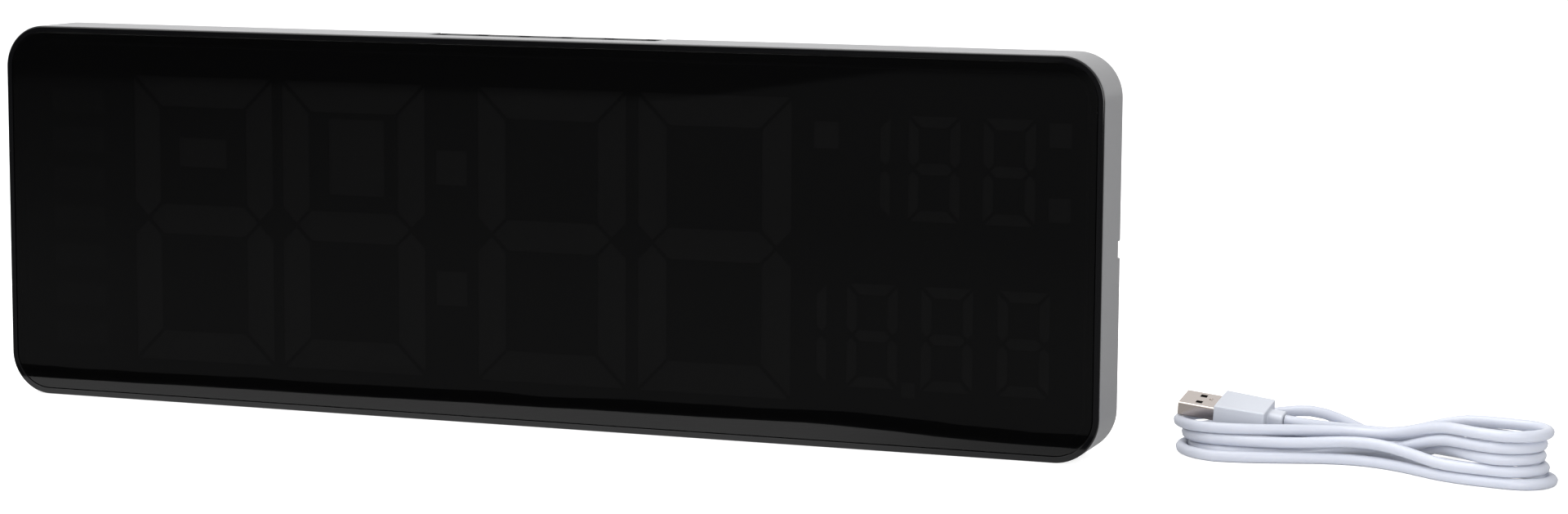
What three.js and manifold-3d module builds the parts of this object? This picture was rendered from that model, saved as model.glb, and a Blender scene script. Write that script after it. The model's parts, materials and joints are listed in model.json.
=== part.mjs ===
import * as THREE from 'three';
import { mergeVertices } from 'three/addons/utils/BufferGeometryUtils.js';
import Module from 'manifold-3d';

const wasm = await Module();
wasm.setup();

// A digital clock for a desk or a wall, with its power lead lying in a hank beside it. Millimetres, +Z up.
// The front faces -Y, and the origin is under the middle of the clock's base.

// Overall size
const WIDTH = 396;
const HEIGHT = 130;
const DEPTH = 24;
const CORNER_RADIUS = 14.7;
const LEAST_CORNER_RADIUS = 3.6;

// Shared by every piece
const CLEARANCE = 0.3;
const OVERRUN = 1;
const FUSE = 0.6;
const CORNER_STEPS = 4;
const SMALL_STEPS = 2;
const ROUND_SIDES = 12;

// Housing
const HOUSING_WALL = 2.2;
const HOUSING_LIP = 0.9;
const SHELF_WIDTH = 3.8;
const SHELF_THICKNESS = 1.2;
const POST_RADIUS = 2.2;
const POST_INSET = 4.3;
const POST_SHARES = [-0.38, -0.13, 0.13, 0.38];
const BOSS_RADIUS = 3;
const BOSS_LENGTH = 9;
const PILOT_DEPTH = 6;
const NOTCH_DEPTH = 2.5;
const NOTCH_FLOOR = 4.8;
const NOTCH_SLOPE = 0.6;
const NOTCH_HEIGHT_SHARE = 0.513;

// Front ring and lens
const RING_FACE = 2;
const RING_FLANGE = 1;
const RING_EDGE = 0.4;
const LEDGE_WIDTH = 2.9;
const LEDGE_THICKNESS = 1;
const LENS_THICKNESS = 2;
const LENS_RECESS = 0.2;
const GASKET_THICKNESS = 0.4;
const GASKET_MARGIN = 0.5;

// Display stack
const MASK_THICKNESS = 0.6;
const DIFFUSER_THICKNESS = 0.4;
const BOARD_THICKNESS = 1.6;
const CONNECTOR_HEIGHT = 2;
const CONNECTOR_LENGTH = 25;
const CONNECTOR_WIDTH = 5;
const CONNECTOR_KEY = 0.6;
const CONNECTOR_X_SHARE = 0.25;
const LAMP_LENGTH = 3;
const LAMP_WIDTH = 1.4;
const LAMP_HEIGHT = 0.7;

// Segment layout, as shares of the clock's width and height
const BIG_DIGIT = { widthShare: 0.136, heightShare: 0.762, strokeShare: 0.0262, bottomShare: 0.112 };
const BIG_LEFT_SHARES = [-0.3768, -0.2316, -0.0467, 0.0997];
const SMALL_DIGIT = { widthShare: 0.0442, heightShare: 0.262, strokeShare: 0.0092 };
const UPPER_ROW_SHARE = 0.577;
const LOWER_ROW_SHARE = 0.154;
const UPPER_LEFT_SHARES = [0.2765, 0.3354, 0.3985];
const LOWER_LEFT_SHARES = [0.223, 0.2841, 0.348, 0.4124];
const SEGMENT_GAP_SHARE = 0.0018;
const COLON_SIZE_SHARE = 0.0295;
const COLON_X_SHARE = -0.071;
const COLON_Z_SHARES = [0.346, 0.661];
const POINT_SIZE_SHARE = 0.0126;
const POINT_X_SHARE = 0.3375;
const LABEL_WIDTH_SHARE = 0.053;
const LABEL_HEIGHT_SHARE = 0.062;
const LABEL_LEFT_SHARE = -0.4596;
const LABEL_Z_SHARES = [0.17, 0.275, 0.38, 0.485, 0.59, 0.695, 0.8];
const ICON_SHARES = [
  { x: -0.309, z: 0.673, width: 0.0472, height: 0.077 },
  { x: -0.1604, z: 0.677, width: 0.053, height: 0.2 },
  { x: 0.2655, z: 0.784, width: 0.022, height: 0.068 },
  { x: 0.4628, z: 0.803, width: 0.019, height: 0.06 },
  { x: 0.4628, z: 0.62, width: 0.019, height: 0.06 },
];

// Rear cover
const COVER_THICKNESS = 2.2;
const COVER_SCREW_X_SHARE = 0.16;
const RIB_THICKNESS = 1.2;
const RIB_DEPTH = 2.4;
const RIB_X_SHARES = [-0.35, -0.25, -0.15, -0.05];
const RIB_LOW_SHARE = 0.18;
const RIB_HIGH_SHARE = 0.8;
const VENT_COUNT = 12;
const VENT_PITCH = 5.2;
const VENT_WIDTH = 2;
const VENT_LENGTH = 16;
const VENT_HEIGHT_SHARE = 0.3;
const KEYHOLE_X_SHARE = 0.33;
const KEYHOLE_Z_SHARE = 0.68;
const KEYHOLE_HEAD = 4.5;
const KEYHOLE_SLOT = 2.4;
const KEYHOLE_LENGTH = 10;

// Button strip, buttons and their switches
const STRIP_LENGTH = 82.4;
const STRIP_REACH = 11.5;
const STRIP_THICKNESS = 2.4;
const STRIP_RECESS = 0.2;
const BUTTON_COUNT = 5;
const BUTTON_PITCH = 15.4;
const BUTTON_LENGTH = 11;
const BUTTON_WIDTH = 5.6;
const BUTTON_SETBACK = 5.4;
const BUTTON_ROUND = 1.2;
const BUTTON_FLANGE = 0.8;
const BUTTON_FLANGE_HEIGHT = 1.2;
const BUTTON_STEM_RADIUS = 1.5;
const BUTTON_STEM_LENGTH = 1.7;
const BUTTON_TRAVEL = 0.6;
const SWITCH_SIZE = 6;
const SWITCH_HEIGHT = 3.4;
const PLUNGER_RADIUS = 1.7;
const PLUNGER_HEIGHT = 0.8;
const BUTTON_BOARD_MARGIN = 1.6;
const BUTTON_BOARD_WIDTH = 7;
const LUG_LENGTH = 9;
const LUG_HEIGHT = 2;
const RIBBON_WIDTH = 12;
const RIBBON_THICKNESS = 0.5;
const RIBBON_DROP = 13;

// Main board and what stands on it
const MAIN_LENGTH = 92;
const MAIN_HEIGHT = 54;
const STANDOFF_LENGTH = 6.7;
const STANDOFF_RADIUS = 2.4;
const STANDOFF_INSET = 4;
const CHIP_SIZE = 10;
const CHIP_HEIGHT = 1.4;
const CHIP_PINS = 6;
const CHIP_PIN_WIDTH = 0.6;
const CHIP_PIN_REACH = 1.2;
const CHIP_PIN_HEIGHT = 0.5;
const BUZZER_RADIUS = 6;
const BUZZER_HEIGHT = 5;
const BUZZER_HOLE_RADIUS = 1;
const BUZZER_HOLES = 6;
const BUZZER_HOLE_CIRCLE = 3.4;
const CELL_RADIUS = 10;
const CELL_HEIGHT = 3.2;
const CELL_RIM_SHARE = 0.35;
const CELL_X_SHARE = 0.36;
const HOLDER_WALL = 1.4;
const HOLDER_FLOOR = 0.8;
const CLIP_WIDTH = 4;
const DOOR_WIDTH = 36;
const DOOR_HEIGHT = 27;
const DOOR_ROUND = 2;
const DOOR_TONGUE = 6;
const DOOR_TONGUE_REACH = 1.5;
const DOOR_GRIPS = 3;
const DOOR_GRIP_DEPTH = 0.6;
const DOOR_SCREW_INSET = 4;
const DOOR_LUG_LENGTH = 8;
const DOOR_LUG_WIDTH = 6.5;
const DOOR_LUG_DEPTH = 3;
const SENSOR_RADIUS = 1.5;
const SENSOR_LENGTH = 4.6;
const SENSOR_LEG = 0.5;
const SENSOR_LEG_SPACING = 1.5;
const SENSOR_INSET = 12;

// Power socket and the recess that its plug lies in
const SOCKET_WIDTH = 6;
const SOCKET_LENGTH = 13;
const SOCKET_BORE = 2.1;
const SOCKET_PIN = 0.55;
const SOCKET_DEPTH = 9;
const SOCKET_WALL_HOLE = 2.6;
const RECESS_LENGTH = 32;
const RECESS_HEIGHT = 15;
const RECESS_WALL = 1.5;

// Stand feet
const FOOT_LENGTH = 46;
const FOOT_HEIGHT = 9.6;
const FOOT_THICKNESS = 5.4;
const FOOT_LIFT = 0.3;
const FOOT_X_SHARE = 0.38;
const FOOT_NICK = 2;
const FOOT_NICK_LENGTH = 9;
const FOOT_POCKET_DEPTH = 1.4;
const FOOT_POCKET_WALL = 1.2;
const HINGE_PIN_RADIUS = 1.2;
const HINGE_PIN_LENGTH = 15;
const HINGE_FLOOR = 1;
const HINGE_BOSS_RADIUS = 2.7;
const HINGE_BOSS_HEIGHT = 6;
const POCKET_WALL = 1.5;

// Screws
const SCREW_RADIUS = 1;
const SCREW_HEAD_RADIUS = 1.9;
const SCREW_HEAD_HEIGHT = 1;
const SCREW_LENGTH = 5;
const SCREW_POINT = 0.5;
const SCREW_CROWN_SHARE = 0.7;
const SCREW_SIDES = 8;

// Power lead: a tube folded into five loops that lie flat at the left and pile up at the right
const LEAD_DIAMETER = 3.2;
const LEAD_SIDES = 6;
const LEAD_LOOPS = 5;
const LEAD_PITCH = 3.66;
const LEAD_COLUMN = 4.6;
const LEAD_LEFT_RADIUS = 9.8;
const LEAD_WAIST_HALF = 2.3;
const LEAD_RIGHT_RADIUS = 10.2;
const LEAD_RIGHT_STEP = 0.3;
const LEAD_SPAN = 99.5;
const LEAD_LEFT_X = [6.1, 4.5, 5.3, 3, 0, 0];
const LEAD_RIGHT_STAGGER = 3;
const LEAD_RIGHT_LEAN = 1.5;
const LEAD_BOW = 12;
const LEAD_X = 228.9;
const LEAD_Y = 31;
const LEAD_TURN = -0.236;
const LEAD_WAIST_SHARE = 0.46;
const LEAD_DRAW_SHARES = [0.22, 0.5];
const LEAD_SPREAD_SHARES = [0.5, 0.85];
const LEAD_PLUG_LEVEL = 3;
const LEAD_PLUG_RISE_SHARE = 0.22;
const LEAD_LOOSE_LOOP = 3;
const LEAD_LOOSE_SHARES = [0.36, 0.75];
const LEAD_WIDEN_SHARE = 0.97;
const LEAD_SHIFT_SHARE = 0.7;
const LEAD_START_SHARE = 0.45;
const LEAD_START_OUT = 4;
const LEAD_START_LIFT_SHARE = 0.2;
const LEAD_START_RISE_SHARE = 0.3;
const LEAD_START_BOW_SHARE = 0.6;
const LEAD_END_SHARE = 0.48;
const LEAD_END_PULL = 8;
const LEAD_LEFT_LEVELS = [0, 0, 0.25, 1.25, 2.25, 2.25];
const LEAD_LEFT_COLUMNS = [2, 0, 1, 1, 1, 0];
const LEAD_FRONT_LEVELS = [0, 1, 1, 1.6, 2.25];
const LEAD_BACK_LEVELS = [0, 0, 0, 1.2, 1, 2];
const LEAD_RIGHT_LEVELS = [0, 2, 3, 1, 4.06];
const GAP_MARKS = 6;
const GAP_SKIP = 4;
const RUN_STEPS = 8;
const FOLD_STEPS = 5;
const END_STEPS = 4;

// USB plug, which lies on the hank and slopes down along it
const USB_SHELL_WIDTH = 12;
const USB_SHELL_HEIGHT = 4.5;
const USB_SHELL_LENGTH = 12;
const USB_SHELL_WALL = 0.4;
const USB_HOLE_SIZE = 2.2;
const USB_HOLE_SPACING = 5.5;
const USB_HOLE_X = 6.2;
const USB_TONGUE_HEIGHT = 1.8;
const USB_TONGUE_SHORT = 1.2;
const USB_BODY_WIDTH = 15.4;
const USB_BODY_HEIGHT = 7.6;
const USB_BODY_LENGTH = 17;
const USB_BODY_ROUND = 2;
const USB_BODY_TAPER_SHARE = 0.88;
const USB_COLLAR_LENGTH = 5;
const USB_COLLAR_WIDTH = 6;
const USB_COLLAR_HEIGHT = 4.8;
const USB_COLLAR_ROUND = 1.6;
const USB_X = 215.45;
const USB_Y = 30.5;
const USB_Z = 15.2;
const USB_TURN = -0.048;
const USB_SLOPE = 0.107;
const USB_LEAN = 0.198;

// Power plug at the other end of the lead
const DC_BODY_RADIUS = 3.2;
const DC_BODY_LENGTH = 16;
const DC_BARREL_RADIUS = 1.7;
const DC_BARREL_LENGTH = 9;
const DC_BORE_RADIUS = 0.8;
const DC_BORE_FLOOR = 1;
const DC_TAPER = 1;
const DC_TAPER_SHARE = 0.4;
const DC_GROOVE_SHARES = [0.12, 0.24, 0.36];
const DC_GROOVE_WIDTH = 0.7;
const DC_GROOVE_DEPTH = 0.5;

const front = -DEPTH / 2;
const rear = DEPTH / 2;

// Layers from the front
const ringFlangeRear = front + RING_FLANGE;
const housingFront = ringFlangeRear + CLEARANCE;
const lensFront = front + LENS_RECESS;
const lensRear = lensFront + LENS_THICKNESS;
const gasketFront = lensRear + CLEARANCE;
const gasketRear = gasketFront + GASKET_THICKNESS;
const ledgeFront = gasketRear + CLEARANCE;
const ledgeRear = ledgeFront + LEDGE_THICKNESS;
const shelfFront = ledgeRear + CLEARANCE;
const shelfRear = shelfFront + SHELF_THICKNESS;
const maskFront = lensRear + CLEARANCE;
const maskRear = maskFront + MASK_THICKNESS;
const diffuserFront = maskRear + CLEARANCE;
const diffuserRear = diffuserFront + DIFFUSER_THICKNESS;
const reflectorFront = diffuserRear + CLEARANCE;

// Layers from the rear
const coverFront = rear - COVER_THICKNESS;
const mainRear = coverFront - STANDOFF_LENGTH - CLEARANCE;
const mainFront = mainRear - BOARD_THICKNESS;
const displayRear = mainFront - CLEARANCE - CONNECTOR_HEIGHT - CLEARANCE;
const displayFront = displayRear - BOARD_THICKNESS;
const reflectorRear = displayFront - CLEARANCE;

// Insets from the clock's outline
const ledgeInset = RING_FACE + CLEARANCE + LEDGE_WIDTH;
const shelfInset = HOUSING_WALL + SHELF_WIDTH;
const stackInset = shelfInset + CLEARANCE;
const coverInset = HOUSING_WALL + CLEARANCE;
const pilotRadius = SCREW_RADIUS + CLEARANCE;

const middle = HEIGHT / 2;
const socketZ = HEIGHT * NOTCH_HEIGHT_SHARE;
const footX = WIDTH * FOOT_X_SHARE;

// Materials
function plastic(color, roughness) {
  return new THREE.MeshStandardMaterial({ color, roughness, metalness: 0 });
}

function metal(color, roughness) {
  return new THREE.MeshStandardMaterial({ color, roughness, metalness: 1 });
}

const satinGrey = plastic(0x9a9ba0, 0.45);
const glossBlack = plastic(0x141416, 0.15);
const smokedGlass = plastic(0x0b0b0d, 0.05);
const mattBlack = plastic(0x1b1b1d, 0.6);
const milkWhite = plastic(0xe6e6e2, 0.5);
const boardGreen = plastic(0x1f5a38, 0.5);
const rubberBlack = plastic(0x232325, 0.9);
const steel = metal(0xb9b9bc, 0.3);
const leadWhite = plastic(0xe9ebf2, 0.4);

// Solids and geometry
function solidOf(geometry) {
  const bare = geometry.clone();
  bare.deleteAttribute('normal');
  bare.deleteAttribute('uv');
  const merged = mergeVertices(bare);
  return new wasm.Manifold(new wasm.Mesh({
    numProp: 3,
    vertProperties: Float32Array.from(merged.attributes.position.array),
    triVerts: Uint32Array.from(merged.index.array),
  }));
}

function geometryOf(solid) {
  const { vertProperties, triVerts } = solid.getMesh();
  const geometry = new THREE.BufferGeometry();
  geometry.setAttribute('position', new THREE.BufferAttribute(vertProperties, 3));
  geometry.setIndex(new THREE.BufferAttribute(triVerts, 1));
  geometry.computeVertexNormals();
  return geometry;
}

function joined(solids) {
  return solids.reduce((whole, solid) => whole.add(solid));
}

function cutBy(solid, cutters) {
  return cutters.reduce((left, cutter) => left.subtract(cutter), solid);
}

function box([x0, x1], [y0, y1], [z0, z1]) {
  const geometry = new THREE.BoxGeometry(x1 - x0, y1 - y0, z1 - z0);
  return solidOf(geometry.translate((x0 + x1) / 2, (y0 + y1) / 2, (z0 + z1) / 2));
}

function around(centre, size) {
  return [centre - size / 2, centre + size / 2];
}

// Round bars along each axis; the two numbers before the radius place the bar across its axis
function rodX(y, z, radius, x0, x1, sides = ROUND_SIDES) {
  const bar = new THREE.CylinderGeometry(radius, radius, x1 - x0, sides).rotateZ(Math.PI / 2);
  return solidOf(bar.translate((x0 + x1) / 2, y, z));
}

function rodY(x, z, radius, y0, y1, sides = ROUND_SIDES) {
  const bar = new THREE.CylinderGeometry(radius, radius, y1 - y0, sides);
  return solidOf(bar.translate(x, (y0 + y1) / 2, z));
}

function rodZ(x, y, radius, z0, z1, sides = ROUND_SIDES) {
  const bar = new THREE.CylinderGeometry(radius, radius, z1 - z0, sides).rotateX(Math.PI / 2);
  return solidOf(bar.translate(x, y, (z0 + z1) / 2));
}

function roundedShape(width, height, radius, centreX, centreY) {
  const shape = new THREE.Shape();
  const [left, right] = around(centreX, width);
  const [low, high] = around(centreY, height);
  const round = Math.min(radius, width / 2, height / 2);
  shape.moveTo(right, low + round);
  shape.lineTo(right, high - round);
  shape.absarc(right - round, high - round, round, 0, Math.PI / 2);
  shape.absarc(left + round, high - round, round, Math.PI / 2, Math.PI);
  shape.absarc(left + round, low + round, round, Math.PI, Math.PI * 1.5);
  shape.absarc(right - round, low + round, round, Math.PI * 1.5, Math.PI * 2);
  return shape;
}

// A shape drawn across X and Z, made solid from y0 to y1
function plateY(shape, y0, y1, curveSegments = SMALL_STEPS) {
  const options = { depth: y1 - y0, bevelEnabled: false, curveSegments };
  return solidOf(new THREE.ExtrudeGeometry(shape, options).rotateX(Math.PI / 2).translate(0, y1, 0));
}

// A shape drawn across X and Y, made solid from z0 to z1
function plateZ(shape, z0, z1) {
  const options = { depth: z1 - z0, bevelEnabled: false, curveSegments: SMALL_STEPS };
  return solidOf(new THREE.ExtrudeGeometry(shape, options).translate(0, 0, z0));
}

// A shape drawn across Y and Z, made solid from x0 to x1
function plateX(shape, x0, x1) {
  const options = { depth: x1 - x0, bevelEnabled: false, curveSegments: SMALL_STEPS };
  const turn = new THREE.Matrix4().makeBasis(
    new THREE.Vector3(0, 1, 0), new THREE.Vector3(0, 0, 1), new THREE.Vector3(1, 0, 0));
  return solidOf(new THREE.ExtrudeGeometry(shape, options).applyMatrix4(turn).translate(x0, 0, 0));
}

// The clock's outline drawn in from its edge
function outline(inset) {
  const radius = Math.max(CORNER_RADIUS - inset, LEAST_CORNER_RADIUS);
  return roundedShape(WIDTH - inset * 2, HEIGHT - inset * 2, radius, 0, middle);
}

function slab(inset, y0, y1) {
  return plateY(outline(inset), y0, y1, CORNER_STEPS);
}

// Segment windows, as closed outlines across X and Z
function outlineOf(points) {
  return new THREE.Shape(points.map(([x, z]) => new THREE.Vector2(x, z)));
}

function rectangle(centreX, centreZ, width, height) {
  const [left, right] = around(centreX, width);
  const [low, high] = around(centreZ, height);
  return outlineOf([[left, low], [right, low], [right, high], [left, high]]);
}

function digitWindows(left, bottom, width, height, stroke, gap, lit) {
  const right = left + width;
  const top = bottom + height;
  const half = bottom + height / 2;
  const bar = stroke / 2;
  const upright = (outer, inner, middleX, edge, sign) => outlineOf([
    [outer, edge - sign * gap], [inner, edge - sign * (stroke + gap)],
    [inner, half + sign * (bar + gap)], [middleX, half + sign * gap], [outer, half + sign * (bar + gap)],
  ]);
  const level = (edge, sign) => outlineOf([
    [left + gap, edge], [right - gap, edge],
    [right - stroke - gap, edge - sign * stroke], [left + stroke + gap, edge - sign * stroke],
  ]);
  const segments = {
    top: level(top, 1),
    bottom: level(bottom, -1),
    middle: outlineOf([
      [left + bar + gap, half], [left + stroke + gap, half + bar], [right - stroke - gap, half + bar],
      [right - bar - gap, half], [right - stroke - gap, half - bar], [left + stroke + gap, half - bar],
    ]),
    upperLeft: upright(left, left + stroke, left + bar, top, 1),
    lowerLeft: upright(left, left + stroke, left + bar, bottom, -1),
    upperRight: upright(right, right - stroke, right - bar, top, 1),
    lowerRight: upright(right, right - stroke, right - bar, bottom, -1),
  };
  return lit.map((name) => segments[name]);
}

const ONE = ['upperRight', 'lowerRight'];
const EIGHT = ['top', 'bottom', 'middle', 'upperLeft', 'lowerLeft', ...ONE];

function digit(kind, leftShare, bottomShare, lit) {
  return digitWindows(WIDTH * leftShare, HEIGHT * bottomShare, WIDTH * kind.widthShare,
    HEIGHT * kind.heightShare, WIDTH * kind.strokeShare, WIDTH * SEGMENT_GAP_SHARE, lit);
}

// The large segments, each of which has its own lamp on the display board
function lampWindows() {
  return BIG_LEFT_SHARES.flatMap((share) => digit(BIG_DIGIT, share, BIG_DIGIT.bottomShare, EIGHT));
}

function displayWindows() {
  const windows = lampWindows();
  UPPER_LEFT_SHARES.forEach((share, place) => {
    windows.push(...digit(SMALL_DIGIT, share, UPPER_ROW_SHARE, place ? EIGHT : ONE));
  });
  LOWER_LEFT_SHARES.forEach((share, place) => {
    windows.push(...digit(SMALL_DIGIT, share, LOWER_ROW_SHARE, place ? EIGHT : ONE));
  });
  for (const share of COLON_Z_SHARES) {
    const size = WIDTH * COLON_SIZE_SHARE;
    windows.push(rectangle(WIDTH * COLON_X_SHARE, HEIGHT * share, size, size));
  }
  const point = WIDTH * POINT_SIZE_SHARE;
  windows.push(rectangle(WIDTH * POINT_X_SHARE, HEIGHT * LOWER_ROW_SHARE, point, point));
  for (const share of LABEL_Z_SHARES) {
    const width = WIDTH * LABEL_WIDTH_SHARE;
    const centre = WIDTH * LABEL_LEFT_SHARE + width / 2;
    windows.push(rectangle(centre, HEIGHT * share, width, HEIGHT * LABEL_HEIGHT_SHARE));
  }
  for (const icon of ICON_SHARES) {
    windows.push(rectangle(WIDTH * icon.x, HEIGHT * icon.z, WIDTH * icon.width, HEIGHT * icon.height));
  }
  return windows;
}

// A plate with a window for every segment, label and point
function windowedSlab(inset, y0, y1) {
  return slab(inset, y0, y1).subtract(plateY(displayWindows(), y0 - OVERRUN, y1 + OVERRUN));
}

function centreOf(shape) {
  const corners = shape.getPoints();
  const sum = corners.reduce((total, corner) => total.add(corner), new THREE.Vector2());
  return sum.divideScalar(corners.length);
}

// Places shared by the pieces that screws join
function postPlaces() {
  return POST_SHARES.flatMap((share) => [
    { x: WIDTH * share, z: POST_INSET },
    { x: WIDTH * share, z: HEIGHT - POST_INSET },
  ]);
}

function bossPlaces() {
  const edge = HOUSING_WALL + BOSS_RADIUS - FUSE;
  const corner = CORNER_RADIUS - (CORNER_RADIUS - edge) * Math.SQRT1_2;
  const x = WIDTH / 2 - corner;
  const places = [-x, x].flatMap((at) => [{ x: at, z: corner }, { x: at, z: HEIGHT - corner }]);
  const share = WIDTH * COVER_SCREW_X_SHARE;
  return [...places, { x: -share, z: HEIGHT - edge }, { x: share, z: HEIGHT - edge }];
}

// Main board, right of the middle, level with the socket
const recessRight = WIDTH / 2 - coverInset - RECESS_WALL;
const recessLeft = recessRight - RECESS_LENGTH;
const socketFace = recessLeft - RECESS_WALL - CLEARANCE;
const mainX = [socketFace - MAIN_LENGTH, socketFace];
const mainZ = around(socketZ, MAIN_HEIGHT);
const socketY = mainRear + CLEARANCE + SOCKET_WIDTH / 2;
const plugRoom = DC_BODY_RADIUS + CLEARANCE;
const cellX = mainX[0] + MAIN_LENGTH * CELL_X_SHARE;
const cellZ = mainZ[0] + MAIN_HEIGHT / 2;
const buzzerX = mainX[1] - BUZZER_RADIUS - STANDOFF_INSET * 2;
const buzzerZ = mainZ[1] - BUZZER_RADIUS - STANDOFF_INSET;
const doorZ = around(cellZ, DOOR_HEIGHT);
const doorX = around(cellX, DOOR_WIDTH);
const doorScrewX = doorX[1] - DOOR_SCREW_INSET;

function standoffPlaces() {
  return mainX.flatMap((x, i) => mainZ.map((z, j) => ({
    x: x + (i ? -STANDOFF_INSET : STANDOFF_INSET),
    z: z + (j ? -STANDOFF_INSET : STANDOFF_INSET),
  })));
}

// Button strip levels, from the top down
const stripTop = HEIGHT - STRIP_RECESS;
const stripUnder = stripTop - STRIP_THICKNESS;
const stripFront = rear - STRIP_REACH;
const buttonCentreY = stripFront + BUTTON_SETBACK;
const flangeTop = stripUnder - CLEARANCE;
const flangeUnder = flangeTop - BUTTON_FLANGE_HEIGHT;
const stemUnder = flangeUnder - BUTTON_STEM_LENGTH;
const plungerTop = stemUnder - BUTTON_TRAVEL - CLEARANCE;
const buttonBoardTop = plungerTop - PLUNGER_HEIGHT - SWITCH_HEIGHT - CLEARANCE;
const buttonBoardUnder = buttonBoardTop - BOARD_THICKNESS;
const buttonBoardHalf = (BUTTON_PITCH * (BUTTON_COUNT - 1) + SWITCH_SIZE) / 2 + BUTTON_BOARD_MARGIN;

function buttonX(number) {
  return BUTTON_PITCH * (number - (BUTTON_COUNT - 1) / 2);
}

// Stand foot places, for the right foot; the left one mirrors it
const footY = [rear - CLEARANCE - FOOT_THICKNESS, rear - CLEARANCE];
const footHingeY = (footY[0] + footY[1]) / 2;
const footZ = [FOOT_LIFT, FOOT_LIFT + FOOT_HEIGHT];
const footEye = FOOT_THICKNESS / 2;
const pocketX = [footX - FOOT_LENGTH - CLEARANCE, footX + footEye + CLEARANCE];
const pocketFloor = footY[0] - CLEARANCE;
const pocketTop = footZ[1] + CLEARANCE;
const pinZ = [footZ[0] + HINGE_FLOOR, footZ[0] + HINGE_FLOOR + HINGE_PIN_LENGTH];

function mirroredX([x0, x1]) {
  return [-x1, -x0];
}

function makeHousing() {
  let housing = slab(0, housingFront, rear);
  housing = cutBy(housing, [
    slab(HOUSING_LIP, housingFront - OVERRUN, shelfFront),
    slab(shelfInset, shelfFront - OVERRUN, shelfRear + OVERRUN),
    slab(HOUSING_WALL, shelfRear, rear + OVERRUN),
  ]);
  const posts = postPlaces().map(({ x, z }) => rodY(x, z, POST_RADIUS, shelfFront, reflectorRear));
  const bossTop = coverFront - CLEARANCE;
  const bosses = bossPlaces().map(({ x, z }) => rodY(x, z, BOSS_RADIUS, bossTop - BOSS_LENGTH, bossTop));
  housing = joined([housing, ...posts, ...bosses]);
  const stripOpening = box(
    around(0, STRIP_LENGTH + CLEARANCE * 2),
    [stripFront - CLEARANCE, rear + OVERRUN],
    [HEIGHT - HOUSING_WALL - OVERRUN, HEIGHT + OVERRUN]);
  const notchHalf = NOTCH_FLOOR / 2;
  const mouth = notchHalf + NOTCH_SLOPE;
  const notch = plateX(outlineOf([
    [rear - NOTCH_DEPTH, socketZ - notchHalf], [rear, socketZ - mouth], [rear + OVERRUN, socketZ - mouth],
    [rear + OVERRUN, socketZ + mouth], [rear, socketZ + mouth], [rear - NOTCH_DEPTH, socketZ + notchHalf],
  ]), WIDTH / 2 - HOUSING_WALL - OVERRUN, WIDTH / 2 + OVERRUN);
  const footOpenings = [pocketX, mirroredX(pocketX)].map((span) => box(
    span, [pocketFloor, rear + OVERRUN], [-OVERRUN, HOUSING_WALL + OVERRUN]));
  const postPilots = postPlaces().map(({ x, z }) => rodY(
    x, z, pilotRadius, shelfRear, reflectorRear + OVERRUN));
  const bossPilots = bossPlaces().map(({ x, z }) => rodY(
    x, z, pilotRadius, bossTop - PILOT_DEPTH, bossTop + OVERRUN));
  return cutBy(housing, [stripOpening, notch, ...footOpenings, ...postPilots, ...bossPilots]);
}

function makeFrontRing() {
  const webInset = HOUSING_LIP + CLEARANCE;
  const edgeRing = slab(RING_EDGE, front, front + RING_EDGE + FUSE);
  const flange = slab(0, front + RING_EDGE, ringFlangeRear);
  const body = joined([edgeRing, flange, slab(webInset, front + RING_EDGE, ledgeRear)]);
  return cutBy(body, [
    slab(RING_FACE, front - OVERRUN, ledgeFront),
    slab(ledgeInset, ledgeFront - OVERRUN, ledgeRear + OVERRUN),
  ]);
}

function makeLens() {
  return slab(RING_FACE + CLEARANCE, lensFront, lensRear);
}

function makeGasket() {
  const outer = slab(RING_FACE + CLEARANCE + GASKET_MARGIN, gasketFront, gasketRear);
  return outer.subtract(slab(ledgeInset - GASKET_MARGIN, gasketFront - OVERRUN, gasketRear + OVERRUN));
}

function makeMask() {
  return windowedSlab(stackInset, maskFront, maskRear);
}

function makeDiffuser() {
  return slab(stackInset, diffuserFront, diffuserRear);
}

function makeReflector() {
  const body = windowedSlab(stackInset, reflectorFront, reflectorRear);
  const flange = slab(coverInset, shelfRear + CLEARANCE, reflectorRear);
  const rim = flange.subtract(slab(stackInset + FUSE, shelfRear, reflectorRear + OVERRUN));
  const clearances = postPlaces().map(({ x, z }) => rodY(
    x, z, POST_RADIUS + CLEARANCE, reflectorFront - OVERRUN, reflectorRear + OVERRUN));
  return cutBy(body.add(rim), clearances);
}

function makeDisplayBoard() {
  const board = slab(coverInset, displayFront, displayRear);
  const lamps = lampWindows().map((window) => {
    const { x, y } = centreOf(window);
    const depth = [displayFront - LAMP_HEIGHT, displayFront + FUSE];
    return box(around(x, LAMP_LENGTH), depth, around(y, LAMP_WIDTH));
  });
  const holes = postPlaces().map(({ x, z }) => rodY(
    x, z, pilotRadius, displayFront - OVERRUN, displayRear + OVERRUN));
  return cutBy(joined([board, ...lamps]), holes);
}

function makeConnector() {
  const x = mainX[0] + MAIN_LENGTH * CONNECTOR_X_SHARE;
  const span = [displayRear + CLEARANCE, mainFront - CLEARANCE];
  const block = box(around(x, CONNECTOR_LENGTH), span, around(socketZ, CONNECTOR_WIDTH));
  const key = box(around(x, CONNECTOR_WIDTH), [span[0] - OVERRUN, span[1] + OVERRUN],
    [socketZ + CONNECTOR_WIDTH / 2 - CONNECTOR_KEY, socketZ + CONNECTOR_WIDTH]);
  return block.subtract(key);
}

function makeMainBoard() {
  const board = box(mainX, [mainFront, mainRear], mainZ);
  const holes = standoffPlaces().map(({ x, z }) => rodY(
    x, z, pilotRadius, mainFront - OVERRUN, mainRear + OVERRUN));
  return cutBy(board, holes);
}

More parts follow.
